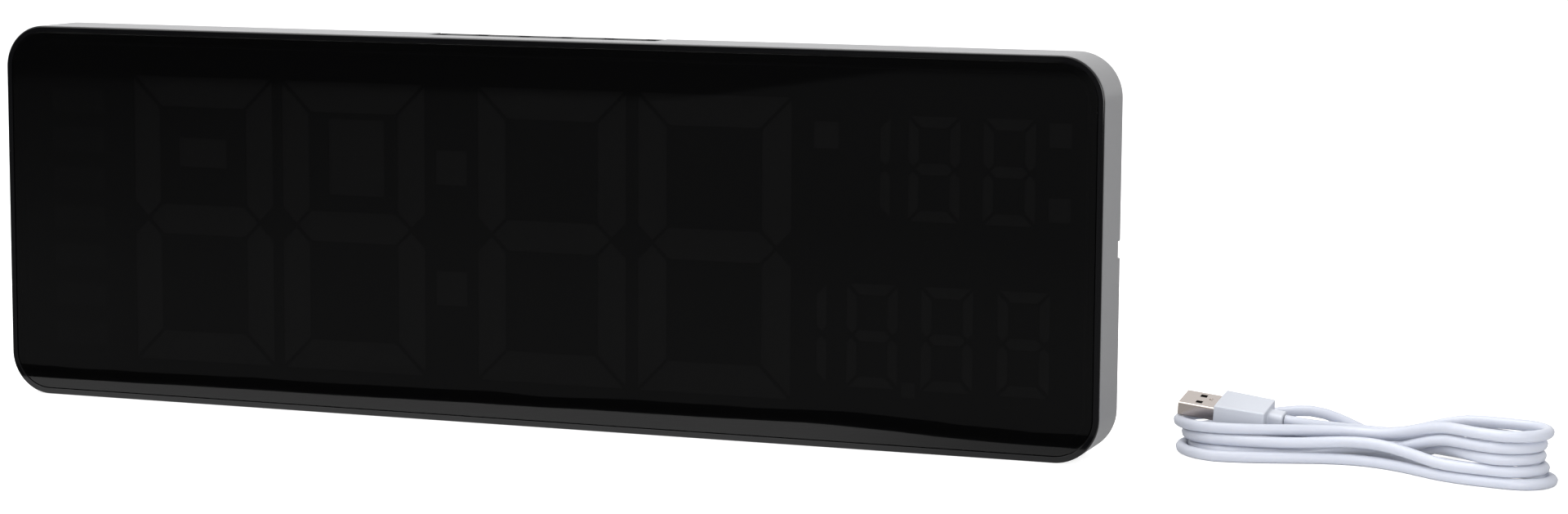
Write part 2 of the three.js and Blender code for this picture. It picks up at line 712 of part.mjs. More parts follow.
function makeChip() {
  const x = mainX[1] - SOCKET_LENGTH - CHIP_SIZE;
  const z = mainZ[0] + CHIP_SIZE;
  const y0 = mainRear + CLEARANCE;
  const body = box(around(x, CHIP_SIZE), [y0, y0 + CHIP_HEIGHT], around(z, CHIP_SIZE));
  const pins = Array.from({ length: CHIP_PINS }, (_, number) => box(
    around(x, CHIP_SIZE + CHIP_PIN_REACH * 2), [y0, y0 + CHIP_PIN_HEIGHT],
    around(z + CHIP_SIZE * ((number + 1) / (CHIP_PINS + 1) - 1 / 2), CHIP_PIN_WIDTH)));
  return joined([body, ...pins]);
}

function makeBuzzer() {
  const y0 = mainRear + CLEARANCE;
  const can = rodY(buzzerX, buzzerZ, BUZZER_RADIUS, y0, y0 + BUZZER_HEIGHT);
  return can.subtract(rodY(
    buzzerX, buzzerZ, BUZZER_HOLE_RADIUS, y0 + BUZZER_HEIGHT / 2, y0 + BUZZER_HEIGHT + OVERRUN));
}

function makeCellHolder() {
  const y0 = mainRear + CLEARANCE;
  const top = y0 + HOLDER_FLOOR + CELL_HEIGHT;
  const tray = rodY(cellX, cellZ, CELL_RADIUS + HOLDER_WALL, y0, top, ROUND_SIDES * 2);
  const clip = box(around(cellX, CLIP_WIDTH), [y0, top + CLEARANCE + HOLDER_FLOOR],
    [cellZ - CELL_RADIUS - HOLDER_WALL, cellZ - CELL_RADIUS + HOLDER_WALL]);
  const floor = y0 + HOLDER_FLOOR;
  const room = rodY(cellX, cellZ, CELL_RADIUS + CLEARANCE, floor, top + CLEARANCE, ROUND_SIDES * 2);
  const finger = box(around(cellX, CLIP_WIDTH), [floor, top + OVERRUN],
    [cellZ + CELL_RADIUS / 2, cellZ + CELL_RADIUS + HOLDER_WALL * 2]);
  return cutBy(tray.add(clip), [room, finger]);
}

function makeCell() {
  const y0 = mainRear + CLEARANCE + HOLDER_FLOOR + CLEARANCE;
  const height = CELL_HEIGHT - CLEARANCE;
  const rim = y0 + height * CELL_RIM_SHARE;
  const can = rodY(cellX, cellZ, CELL_RADIUS, rim, y0 + height, ROUND_SIDES * 2);
  return can.add(rodY(cellX, cellZ, CELL_RADIUS - HOLDER_WALL, y0, rim + FUSE, ROUND_SIDES * 2));
}

function makeSensor() {
  const x = mainX[0] + SENSOR_INSET;
  const z = mainZ[0] + STANDOFF_INSET;
  const y0 = mainRear + CLEARANCE;
  const legs = [-1, 1].map((side) => box(
    around(x + side * SENSOR_LEG_SPACING / 2, SENSOR_LEG), [y0, y0 + SENSOR_LENGTH], around(z, SENSOR_LEG)));
  const bead = solidOf(new THREE.SphereGeometry(SENSOR_RADIUS, ROUND_SIDES, CORNER_STEPS));
  return joined([bead.translate([x, y0 + SENSOR_LENGTH, z]), ...legs]);
}

function makePowerSocket() {
  const x0 = socketFace - SOCKET_LENGTH;
  const body = box([x0, socketFace], around(socketY, SOCKET_WIDTH), around(socketZ, SOCKET_WIDTH));
  const bore = rodX(socketY, socketZ, SOCKET_BORE, socketFace - SOCKET_DEPTH, socketFace + OVERRUN);
  const pin = rodX(socketY, socketZ, SOCKET_PIN, socketFace - SOCKET_DEPTH - FUSE, socketFace - FUSE);
  return body.subtract(bore).add(pin);
}

function makeRearCover() {
  const bodies = [slab(coverInset, coverFront, rear)];
  bodies.push(box(around(0, STRIP_LENGTH), [stripFront, rear], [stripUnder, stripTop]));
  const ribY = [coverFront - RIB_DEPTH, coverFront + FUSE];
  const ribZ = [HEIGHT * RIB_LOW_SHARE, HEIGHT * RIB_HIGH_SHARE];
  const ribEnds = [WIDTH * RIB_X_SHARES[0], WIDTH * RIB_X_SHARES[RIB_X_SHARES.length - 1]];
  ribZ.forEach((z) => bodies.push(box(ribEnds, ribY, around(z, RIB_THICKNESS))));
  RIB_X_SHARES.forEach((share) => bodies.push(box(around(WIDTH * share, RIB_THICKNESS), ribY, ribZ)));
  const lugEnd = buttonBoardHalf + STRIP_RECESS;
  for (const side of [-1, 1]) {
    const span = side > 0 ? [lugEnd - LUG_LENGTH, lugEnd] : [-lugEnd, LUG_LENGTH - lugEnd];
    const under = buttonBoardUnder - CLEARANCE;
    bodies.push(box(span, [stripFront, coverFront + FUSE], [under - LUG_HEIGHT, under]));
  }
  const outerRecess = [recessLeft - RECESS_WALL, WIDTH / 2 - coverInset];
  const recessFloor = socketY - plugRoom;
  bodies.push(box(outerRecess, [recessFloor - RECESS_WALL, coverFront + FUSE],
    around(socketZ, RECESS_HEIGHT + RECESS_WALL * 2)));
  const pocketY = [pocketFloor - POCKET_WALL, coverFront + FUSE];
  const pocketZ = [coverInset, pocketTop + POCKET_WALL];
  for (const [left, right] of [pocketX, mirroredX(pocketX)]) {
    bodies.push(box([left - POCKET_WALL, right + POCKET_WALL], pocketY, pocketZ));
  }
  const bossTop = pocketTop + POCKET_WALL + HINGE_BOSS_HEIGHT;
  for (const x of [-footX, footX]) {
    bodies.push(rodZ(x, footHingeY, HINGE_BOSS_RADIUS, pocketTop, bossTop));
  }
  for (const { x, z } of standoffPlaces()) {
    bodies.push(rodY(x, z, STANDOFF_RADIUS, coverFront - STANDOFF_LENGTH, coverFront + FUSE));
  }
  return cutBy(joined(bodies), coverCuts(recessFloor)).add(doorLug());
}

// The round sink in the clock's back that a screw's head lies in
function screwSink(x, z) {
  const floor = rear - SCREW_HEAD_HEIGHT - CLEARANCE;
  return rodY(x, z, SCREW_HEAD_RADIUS + CLEARANCE, floor, rear + OVERRUN);
}

// The lug that the cell door's screw bites into
function doorLug() {
  const lugX = [doorX[1] - DOOR_LUG_WIDTH + CLEARANCE, doorX[1] + CLEARANCE + RIB_THICKNESS];
  const lugY = [coverFront - CLEARANCE - DOOR_LUG_DEPTH, coverFront - CLEARANCE];
  const lugZ = around(cellZ, DOOR_LUG_LENGTH);
  const lug = box(lugX, lugY, lugZ);
  const root = box([lugX[1] - RIB_THICKNESS, lugX[1]], [lugY[0], coverFront + FUSE], lugZ);
  return lug.add(root).subtract(rodY(doorScrewX, cellZ, pilotRadius, lugY[0] - OVERRUN, lugY[1] + OVERRUN));
}

function coverCuts(recessFloor) {
  const through = [coverFront - OVERRUN, rear + OVERRUN];
  const cuts = [];
  const mouth = NOTCH_FLOOR / 2;
  cuts.push(box([recessLeft, recessRight], [recessFloor, rear + OVERRUN], around(socketZ, RECESS_HEIGHT)));
  cuts.push(box([recessRight - OVERRUN, WIDTH / 2], [rear - NOTCH_DEPTH, rear + OVERRUN],
    [socketZ - mouth, socketZ + mouth]));
  const socketHole = [recessLeft - RECESS_WALL - OVERRUN, recessLeft + OVERRUN];
  cuts.push(rodX(socketY, socketZ, SOCKET_WALL_HOLE, ...socketHole));
  for (const span of [pocketX, mirroredX(pocketX)]) {
    cuts.push(box(span, [pocketFloor, rear + OVERRUN], [-OVERRUN, pocketTop]));
  }
  for (const x of [-footX, footX]) {
    cuts.push(rodZ(x, footHingeY, HINGE_PIN_RADIUS + CLEARANCE, pocketTop - OVERRUN, pinZ[1] + CLEARANCE));
  }
  for (let number = 0; number < BUTTON_COUNT; number += 1) {
    const size = [BUTTON_LENGTH + CLEARANCE * 2, BUTTON_WIDTH + CLEARANCE * 2];
    const hole = roundedShape(size[0], size[1], BUTTON_ROUND, buttonX(number), buttonCentreY);
    cuts.push(plateZ(hole, stripUnder - OVERRUN, stripTop + OVERRUN));
  }
  for (let number = 0; number < VENT_COUNT; number += 1) {
    const x = VENT_PITCH * (number - (VENT_COUNT - 1) / 2);
    const vent = roundedShape(VENT_WIDTH, VENT_LENGTH, VENT_WIDTH / 2, x, HEIGHT * VENT_HEIGHT_SHARE);
    cuts.push(plateY(vent, ...through));
  }
  for (const x of [-WIDTH * KEYHOLE_X_SHARE, WIDTH * KEYHOLE_X_SHARE]) {
    const z = HEIGHT * KEYHOLE_Z_SHARE;
    cuts.push(rodY(x, z, KEYHOLE_HEAD, ...through, ROUND_SIDES + CORNER_STEPS));
    cuts.push(plateY(roundedShape(KEYHOLE_SLOT * 2, KEYHOLE_LENGTH + KEYHOLE_SLOT, KEYHOLE_SLOT,
      x, z + (KEYHOLE_LENGTH + KEYHOLE_SLOT) / 2), ...through));
  }
  for (const { x, z } of bossPlaces()) {
    cuts.push(rodY(x, z, pilotRadius, ...through));
    cuts.push(screwSink(x, z));
  }
  for (const { x, z } of standoffPlaces()) {
    cuts.push(rodY(x, z, pilotRadius, coverFront - STANDOFF_LENGTH - OVERRUN, coverFront - FUSE));
  }
  const doorSize = [DOOR_WIDTH + CLEARANCE * 2, DOOR_HEIGHT + CLEARANCE * 2];
  cuts.push(plateY(roundedShape(...doorSize, DOOR_ROUND, cellX, cellZ), ...through));
  for (let number = 0; number < BUZZER_HOLES; number += 1) {
    const angle = Math.PI * 2 * number / BUZZER_HOLES;
    const x = buzzerX + BUZZER_HOLE_CIRCLE * Math.cos(angle);
    const z = buzzerZ + BUZZER_HOLE_CIRCLE * Math.sin(angle);
    cuts.push(rodY(x, z, BUZZER_HOLE_RADIUS, ...through, ROUND_SIDES / 2));
  }
  return cuts;
}

function makeCellDoor() {
  const panel = plateY(roundedShape(DOOR_WIDTH, DOOR_HEIGHT, DOOR_ROUND, cellX, cellZ), coverFront, rear);
  const tongueY = [coverFront - CLEARANCE - RIB_THICKNESS, coverFront - CLEARANCE];
  const tongues = [-1, 1].map((side) => {
    const reach = [doorX[0] - DOOR_TONGUE_REACH, doorX[0] + DOOR_TONGUE];
    return box(reach, tongueY, around(cellZ + side * DOOR_HEIGHT / 4, DOOR_TONGUE))
      .add(box([doorX[0] + CLEARANCE, reach[1]], [tongueY[0], rear - FUSE],
        around(cellZ + side * DOOR_HEIGHT / 4, DOOR_TONGUE)));
  });
  const grips = Array.from({ length: DOOR_GRIPS }, (_, number) => box(
    around(doorX[0] + DOOR_TONGUE + number * DOOR_TONGUE_REACH * 2, DOOR_TONGUE_REACH),
    [rear - DOOR_GRIP_DEPTH, rear + OVERRUN], around(cellZ, DOOR_HEIGHT / 2)));
  const hole = rodY(doorScrewX, cellZ, pilotRadius, coverFront - OVERRUN, rear + OVERRUN);
  return cutBy(joined([panel, ...tongues]), [...grips, hole, screwSink(doorScrewX, cellZ)]);
}

function makeButton(number) {
  const x = buttonX(number);
  const outlineAt = (margin) => roundedShape(
    BUTTON_LENGTH + margin * 2, BUTTON_WIDTH + margin * 2, BUTTON_ROUND, x, buttonCentreY);
  const cap = plateZ(outlineAt(0), flangeUnder, HEIGHT);
  const flange = plateZ(outlineAt(BUTTON_FLANGE), flangeUnder, flangeTop);
  const stem = rodZ(x, buttonCentreY, BUTTON_STEM_RADIUS, stemUnder, flangeUnder + FUSE);
  return joined([cap, flange, stem]);
}

function makeSwitch(number) {
  const x = buttonX(number);
  const z0 = buttonBoardTop + CLEARANCE;
  const body = box(around(x, SWITCH_SIZE), around(buttonCentreY, SWITCH_SIZE), [z0, z0 + SWITCH_HEIGHT]);
  return body.add(rodZ(x, buttonCentreY, PLUNGER_RADIUS, z0 + FUSE, plungerTop));
}

function makeButtonBoard() {
  return box(around(0, buttonBoardHalf * 2), around(buttonCentreY, BUTTON_BOARD_WIDTH),
    [buttonBoardUnder, buttonBoardTop]);
}

function makeRibbon() {
  const x = mainX[0] + RIBBON_WIDTH;
  const top = buttonBoardUnder - CLEARANCE;
  const low = top - RIBBON_DROP;
  const y = stripFront + RIBBON_THICKNESS;
  const half = RIBBON_THICKNESS / 2;
  const span = around(0, RIBBON_WIDTH);
  const drop = box(span, [y - half, y + half], [low, top]);
  const tab = box(span, [y - half, buttonCentreY], [top - RIBBON_THICKNESS, top]);
  const run = box([-RIBBON_WIDTH / 2, x], [y - half, y + half], [low, low + RIBBON_WIDTH / 2]);
  const tail = box([x - RIBBON_WIDTH / 2, x], [y - half, y + half], [mainZ[1] + CLEARANCE, low + half]);
  return joined([drop, tab, run, tail]);
}

function makeFoot(side) {
  const z = footZ;
  const arm = side > 0 ? [footX - FOOT_LENGTH, footX] : [-footX, FOOT_LENGTH - footX];
  const hingeX = side * footX;
  const tipX = side > 0 ? arm[0] : arm[1];
  const bar = box(arm, footY, z).add(rodZ(hingeX, footHingeY, footEye, z[0], z[1], ROUND_SIDES * 2));
  const nick = box(around(tipX + side * (FOOT_NICK_LENGTH / 2 + FOOT_NICK), FOOT_NICK_LENGTH),
    [footY[1] - FOOT_NICK, footY[1] + OVERRUN], around((z[0] + z[1]) / 2, FOOT_HEIGHT / 2));
  const pocket = box(around(hingeX - side * FOOT_LENGTH / 2, FOOT_LENGTH / 2),
    [footY[0] - OVERRUN, footY[0] + FOOT_POCKET_DEPTH], [z[0] + FOOT_POCKET_WALL, z[1] - FOOT_POCKET_WALL]);
  const bore = rodZ(hingeX, footHingeY, HINGE_PIN_RADIUS + CLEARANCE, pinZ[0] - CLEARANCE, z[1] + OVERRUN);
  return cutBy(bar, [nick, pocket, bore]);
}

function makeHingePin(side) {
  return rodZ(side * footX, footHingeY, HINGE_PIN_RADIUS, ...pinZ);
}

// A pan-head screw whose head's flat seat is at y, pointing towards +Y or -Y
function makeScrew(x, y, z, direction) {
  const profile = [
    [0, SCREW_HEAD_HEIGHT], [SCREW_HEAD_RADIUS * SCREW_CROWN_SHARE, SCREW_HEAD_HEIGHT],
    [SCREW_HEAD_RADIUS, SCREW_HEAD_HEIGHT / 2], [SCREW_HEAD_RADIUS, 0],
    [SCREW_RADIUS, 0], [SCREW_RADIUS, SCREW_POINT - SCREW_LENGTH], [0, -SCREW_LENGTH],
  ].reverse().map(([radius, height]) => new THREE.Vector2(radius, height));
  const turned = solidOf(new THREE.LatheGeometry(profile, SCREW_SIDES));
  const upright = direction > 0 ? [180, 0, 0] : [0, 0, 0];
  return turned.rotate(upright).translate([x, y, z]);
}

// Power lead
function ease(share) {
  const t = THREE.MathUtils.clamp(share, 0, 1);
  return t * t * (3 - 2 * t);
}

function easeWithin(share, [from, to]) {
  return ease((share - from) / (to - from));
}

function leftRadius(fold) {
  return LEAD_LEFT_RADIUS + LEAD_COLUMN * LEAD_LEFT_COLUMNS[fold];
}

function waistHalf(fold) {
  return LEAD_WAIST_HALF + LEAD_COLUMN * LEAD_LEFT_COLUMNS[fold];
}

function rightRadius(loop) {
  return LEAD_RIGHT_RADIUS + LEAD_RIGHT_STEP * LEAD_RIGHT_LEVELS[loop];
}

function rightX(loop) {
  const place = (LEAD_RIGHT_LEVELS[loop] * 2) / (LEAD_LOOPS - 1) - 1;
  return LEAD_SPAN - LEAD_RIGHT_STAGGER * (1 - place ** 2) - LEAD_RIGHT_LEAN * place;
}

function levelZ(level) {
  return LEAD_DIAMETER / 2 + LEAD_PITCH * level;
}

// A run goes from its left fold's level to its level in the waist and on to its right fold's
function runZ(share, fold, loop) {
  const low = LEAD_LEFT_LEVELS[fold];
  const passing = fold === LEAD_LOOPS - 1 && loop < fold ? LEAD_PLUG_LEVEL : low;
  const waist = fold === loop ? LEAD_FRONT_LEVELS[fold] : LEAD_BACK_LEVELS[fold];
  const climb = (passing - low) * ease(share / LEAD_PLUG_RISE_SHARE);
  const draw = (waist - passing) * easeWithin(share, LEAD_DRAW_SHARES);
  const spread = (LEAD_RIGHT_LEVELS[loop] - waist) * easeWithin(share, LEAD_SPREAD_SHARES);
  return levelZ(low + climb + draw + spread);
}

// One loop lies outside the others in the middle, where it crosses them
function looseness(share, loop) {
  const [from, to] = LEAD_LOOSE_SHARES;
  return loop === LEAD_LOOSE_LOOP ? LEAD_COLUMN * (ease(share / from) - ease((share - to) / (1 - to))) : 0;
}

function runHalf(share, fold, loop) {
  const widen = LEAD_RIGHT_RADIUS - LEAD_WAIST_HALF - LEAD_COLUMN;
  const waist = waistHalf(fold);
  const drawnIn = leftRadius(fold) + (waist - leftRadius(fold)) * ease(share / LEAD_WAIST_SHARE);
  const opening = widen * ease((share - LEAD_WAIST_SHARE) / (LEAD_WIDEN_SHARE - LEAD_WAIST_SHARE));
  const shift = ease((share - LEAD_SHIFT_SHARE) / (1 - LEAD_SHIFT_SHARE));
  return drawnIn + opening + (rightRadius(loop) - waist - widen) * shift + looseness(share, loop);
}

function bow(x) {
  return LEAD_BOW * Math.sin(Math.PI * THREE.MathUtils.clamp(x / LEAD_SPAN, 0, 1)) ** 2;
}

function runPoint(share, fold, loop, side) {
  const x = LEAD_LEFT_X[fold] + (rightX(loop) - LEAD_LEFT_X[fold]) * share;
  return new THREE.Vector3(x, side * runHalf(share, fold, loop) + bow(x), runZ(share, fold, loop));
}

function foldPoints(x, radius, z, side) {
  return Array.from({ length: FOLD_STEPS + 1 }, (_, step) => {
    const angle = Math.PI * step / FOLD_STEPS;
    return new THREE.Vector3(x + side * radius * Math.sin(angle), -side * radius * Math.cos(angle), z);
  });
}

function shares(from, to) {
  return Array.from({ length: RUN_STEPS - 1 }, (_, step) => from + (to - from) * (step + 1) / RUN_STEPS);
}

// The hank's own frame has X along the runs; this puts it beside the clock
const leadFrame = new THREE.Matrix4().makeRotationZ(LEAD_TURN).setPosition(LEAD_X, LEAD_Y, 0);

// The USB plug's frame has +X towards the lead, with its origin where the lead leaves the collar
const usbFrame = new THREE.Matrix4().makeTranslation(USB_X, USB_Y, USB_Z)
  .multiply(new THREE.Matrix4().makeRotationZ(USB_TURN))
  .multiply(new THREE.Matrix4().makeRotationY(USB_SLOPE))
  .multiply(new THREE.Matrix4().makeRotationX(USB_LEAN));

const usbLength = USB_SHELL_LENGTH + USB_BODY_LENGTH + USB_COLLAR_LENGTH;

function usbPoint(distance) {
  return new THREE.Vector3(usbLength + CLEARANCE + distance, 0, 0).applyMatrix4(usbFrame);
}

// The lead starts at the power plug, which lies on the surface behind the hank
function startPoint(share) {
  const x = LEAD_LEFT_X[0] + share * LEAD_SPAN;
  const bulge = LEAD_START_BOW_SHARE * bow(x) * ease(share / LEAD_START_RISE_SHARE);
  const y = leftRadius(0) + LEAD_START_OUT * ease(share / LEAD_START_SHARE) + bulge;
  const lift = ease((share - LEAD_START_LIFT_SHARE) / (LEAD_START_SHARE - LEAD_START_LIFT_SHARE));
  return new THREE.Vector3(x, y, levelZ(0) + (DC_BODY_RADIUS - levelZ(0)) * lift);
}

const startEnd = startPoint(LEAD_START_SHARE);
const startBefore = startPoint(LEAD_START_SHARE * (1 - 1 / RUN_STEPS));
const startAngle = Math.atan2(startEnd.y - startBefore.y, startEnd.x - startBefore.x);

// The power plug's frame has +X away from the lead, with its origin where the lead goes in
const dcFrame = leadFrame.clone()
  .multiply(new THREE.Matrix4().makeTranslation(startEnd.x, startEnd.y, DC_BODY_RADIUS))
  .multiply(new THREE.Matrix4().makeRotationZ(startAngle));

function startPoints() {
  const direction = new THREE.Vector3(Math.cos(startAngle), Math.sin(startAngle), 0);
  const first = startEnd.clone().addScaledVector(direction, LEAD_DIAMETER);
  return [first, startEnd, ...shares(LEAD_START_SHARE, 0).map(startPoint)];
}

function leadRoute() {
  const points = startPoints();
  for (let loop = 0; loop < LEAD_LOOPS; loop += 1) {
    points.push(...foldPoints(LEAD_LEFT_X[loop], leftRadius(loop), levelZ(LEAD_LEFT_LEVELS[loop]), -1));
    points.push(...shares(0, 1).map((share) => runPoint(share, loop, loop, -1)));
    points.push(...foldPoints(rightX(loop), rightRadius(loop), levelZ(LEAD_RIGHT_LEVELS[loop]), 1));
    if (loop < LEAD_LOOPS - 1) {
      points.push(...shares(1, 0).map((share) => runPoint(share, loop + 1, loop, 1)));
    }
  }
  points.forEach((point) => point.applyMatrix4(leadFrame));
  return [...points, ...endPoints()];
}

// The last run follows the others and then bends into the USB plug
function endPoints() {
  const last = LEAD_LOOPS - 1;
  const runAt = (share) => runPoint(share, LEAD_LOOPS, last, 1).applyMatrix4(leadFrame);
  const stretch = (1 - LEAD_END_SHARE) / END_STEPS;
  const run = Array.from({ length: END_STEPS }, (_, step) => 1 - stretch * (step + 1));
  const leave = runAt(LEAD_END_SHARE);
  const heading = leave.clone().sub(runAt(LEAD_END_SHARE + 1 / LEAD_SPAN)).setLength(LEAD_END_PULL);
  const bend = new THREE.CubicBezierCurve3(
    leave, leave.clone().add(heading), usbPoint(LEAD_DIAMETER + LEAD_END_PULL), usbPoint(LEAD_DIAMETER));
  return [...run.slice(0, -1).map(runAt), ...bend.getPoints(FOLD_STEPS), usbPoint(0)];
}

// A closed tube along the points, one ring of sides at each point
function tube(points, radius, sides) {
  const positions = [];
  const indices = [];
  const tangent = new THREE.Vector3();
  let across = new THREE.Vector3(0, 0, 1);
  points.forEach((point, place) => {
    const before = points[Math.max(place - 1, 0)];
    const after = points[Math.min(place + 1, points.length - 1)];
    tangent.subVectors(after, before).normalize();
    across = across.clone().addScaledVector(tangent, -across.dot(tangent)).normalize();
    const other = new THREE.Vector3().crossVectors(tangent, across);
    for (let side = 0; side < sides; side += 1) {
      const angle = Math.PI * 2 * side / sides;
      const spoke = across.clone().multiplyScalar(Math.cos(angle)).addScaledVector(other, Math.sin(angle));
      positions.push(...spoke.multiplyScalar(radius).add(point).toArray());
    }
  });
  for (let ring = 0; ring < points.length - 1; ring += 1) {
    for (let side = 0; side < sides; side += 1) {
      const [a, b] = [ring * sides + side, ring * sides + (side + 1) % sides];
      indices.push(a, b, a + sides, b, b + sides, a + sides);
    }
  }
  for (let side = 1; side < sides - 1; side += 1) {
    const start = (points.length - 1) * sides;
    indices.push(0, side + 1, side, start, start + side, start + side + 1);
  }
  const geometry = new THREE.BufferGeometry();
  geometry.setAttribute('position', new THREE.Float32BufferAttribute(positions, 3));
  geometry.setIndex(indices);
  geometry.computeVertexNormals();
  return geometry;
}

// The least distance between stretches of the lead that aren't neighbours, less its diameter
function leastGap(points) {
  const step = LEAD_DIAMETER / GAP_MARKS;
  const line = new THREE.CurvePath();
  points.slice(1).forEach((point, place) => line.add(new THREE.LineCurve3(points[place], point)));
  const length = line.getLength();
  const count = Math.floor(length / step);
  const marks = Array.from({ length: count }, (_, place) => line.getPointAt(place * step / length));
  const apart = GAP_MARKS * GAP_SKIP;
  let least = Infinity;
  for (let i = 0; i < marks.length; i += 1) {
    for (let j = i + apart; j < marks.length; j += 1) {
      least = Math.min(least, marks[i].distanceToSquared(marks[j]));
    }
  }
  return { gap: Math.sqrt(least) - LEAD_DIAMETER, length };
}

function makeLead() {
  const route = leadRoute();
  const { gap, length } = leastGap(route);
  console.log(`power lead: ${length.toFixed(0)} mm long, least gap to itself ${gap.toFixed(2)} mm`);
  return tube(route, LEAD_DIAMETER / 2, LEAD_SIDES);
}

// USB plug, drawn along its own X from the mouth of the shell
function makeUsbShell() {
  const outer = box([0, USB_SHELL_LENGTH], around(0, USB_SHELL_WIDTH), around(0, USB_SHELL_HEIGHT));
  const inside = box([-OVERRUN, USB_SHELL_LENGTH + OVERRUN],
    around(0, USB_SHELL_WIDTH - USB_SHELL_WALL * 2), around(0, USB_SHELL_HEIGHT - USB_SHELL_WALL * 2));
  const holes = [-1, 1].map((side) => box(around(USB_HOLE_X, USB_HOLE_SIZE),
    around(side * USB_HOLE_SPACING / 2, USB_HOLE_SIZE), around(0, USB_SHELL_HEIGHT + OVERRUN)));
  return cutBy(outer, [inside, ...holes]);
}

function makeUsbTongue() {
  const top = USB_SHELL_HEIGHT / 2 - USB_SHELL_WALL - CLEARANCE;
  const width = USB_SHELL_WIDTH - (USB_SHELL_WALL + CLEARANCE) * 2;
  return box([USB_TONGUE_SHORT, USB_SHELL_LENGTH], around(0, width), [-top, USB_TONGUE_HEIGHT - top]);
}

function makeUsbBody() {
  const start = USB_SHELL_LENGTH + CLEARANCE;
  const end = USB_SHELL_LENGTH + USB_BODY_LENGTH;
  const body = plateX(roundedShape(USB_BODY_WIDTH, USB_BODY_HEIGHT, USB_BODY_ROUND, 0, 0), start, end);
  const tapered = body.warp((corner) => {
    corner[1] *= THREE.MathUtils.mapLinear(corner[0], start, end, 1, USB_BODY_TAPER_SHARE);
  });
  const collar = roundedShape(USB_COLLAR_WIDTH, USB_COLLAR_HEIGHT, USB_COLLAR_ROUND, 0, 0);
  return tapered.add(plateX(collar, end - FUSE, end + USB_COLLAR_LENGTH));
}

// Power plug, drawn along its own X from the lead
const dcStart = LEAD_DIAMETER + CLEARANCE;
const dcEnd = dcStart + DC_BODY_LENGTH;

function dcRadius(share) {
  return DC_BODY_RADIUS - DC_TAPER * Math.max(1 - share / DC_TAPER_SHARE, 0);
}

function makeDcBody() {
  const grooves = DC_GROOVE_SHARES.flatMap((share) => {
    const radius = dcRadius(share);
    const [near, far] = around(dcStart + DC_BODY_LENGTH * share, DC_GROOVE_WIDTH);
    return [[radius, near], [radius - DC_GROOVE_DEPTH, near], [radius - DC_GROOVE_DEPTH, far], [radius, far]];
  });
  const profile = [
    [0, dcStart], [dcRadius(0), dcStart], ...grooves,
    [DC_BODY_RADIUS, dcStart + DC_BODY_LENGTH * DC_TAPER_SHARE], [DC_BODY_RADIUS, dcEnd], [0, dcEnd],
  ].map(([radius, height]) => new THREE.Vector2(radius, height));
  return new THREE.LatheGeometry(profile, ROUND_SIDES).rotateZ(-Math.PI / 2);
}

function makeDcBarrel() {
  const tip = dcEnd + CLEARANCE + DC_BARREL_LENGTH;
  const barrel = rodX(0, 0, DC_BARREL_RADIUS, dcEnd + CLEARANCE, tip);
  return barrel.subtract(rodX(0, 0, DC_BORE_RADIUS, dcEnd + CLEARANCE + DC_BORE_FLOOR, tip + OVERRUN));
}

// The assembly
const clock = new THREE.Group();

function add(name, shape, material, parent = clock) {
  const geometry = shape.isBufferGeometry ? shape : geometryOf(shape);
  const mesh = new THREE.Mesh(geometry, material);
  mesh.name = name;
  parent.add(mesh);
  return mesh;
}

add('housing', makeHousing(), satinGrey);
add('front_ring', makeFrontRing(), glossBlack);
add('front_lens', makeLens(), smokedGlass);
add('lens_gasket', makeGasket(), rubberBlack);
add('display_mask', makeMask(), mattBlack);
add('diffuser', makeDiffuser(), milkWhite);
add('reflector', makeReflector(), milkWhite);
add('display_board', makeDisplayBoard(), boardGreen);
add('board_connector', makeConnector(), mattBlack);
add('main_board', makeMainBoard(), boardGreen);
add('controller_chip', makeChip(), mattBlack);
add('buzzer', makeBuzzer(), mattBlack);
add('cell_holder', makeCellHolder(), mattBlack);
add('coin_cell', makeCell(), steel);
add('temperature_sensor', makeSensor(), mattBlack);
add('power_socket', makePowerSocket(), mattBlack);
add('rear_cover', makeRearCover(), mattBlack);
add('cell_door', makeCellDoor(), mattBlack);
add('button_board', makeButtonBoard(), boardGreen);
add('button_ribbon', makeRibbon(), milkWhite);
for (let number = 0; number < BUTTON_COUNT; number += 1) {
  add(`button_${number + 1}`, makeButton(number), glossBlack);
  add(`switch_${number + 1}`, makeSwitch(number), mattBlack);
}
for (const [name, side] of [['left', -1], ['right', 1]]) {
  add(`foot_${name}`, makeFoot(side), mattBlack);
  add(`hinge_pin_${name}`, makeHingePin(side), steel);
}
postPlaces().forEach(({ x, z }, number) => {
  add(`board_screw_${number + 1}`, makeScrew(x, displayRear + CLEARANCE, z, -1), steel);
});
bossPlaces().forEach(({ x, z }, number) => {
  add(`cover_screw_${number + 1}`, makeScrew(x, rear - SCREW_HEAD_HEIGHT, z, -1), steel);
});
standoffPlaces().forEach(({ x, z }, number) => {
  add(`main_screw_${number + 1}`, makeScrew(x, mainFront - CLEARANCE, z, 1), steel);
});
add('door_screw', makeScrew(doorScrewX, rear - SCREW_HEAD_HEIGHT, cellZ, -1), steel);

const usbPlug = new THREE.Group();
usbPlug.applyMatrix4(usbFrame);
clock.add(usbPlug);
add('usb_shell', makeUsbShell(), steel, usbPlug);
add('usb_tongue', makeUsbTongue(), mattBlack, usbPlug);
add('usb_body', makeUsbBody(), leadWhite, usbPlug);

const dcPlug = new THREE.Group();
dcPlug.applyMatrix4(dcFrame);
clock.add(dcPlug);
add('dc_body', makeDcBody(), leadWhite, dcPlug);
add('dc_barrel', makeDcBarrel(), steel, dcPlug);

add('power_lead', makeLead(), leadWhite);

export default clock;
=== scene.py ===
import math
import json

import bpy
from mathutils import Matrix, Vector


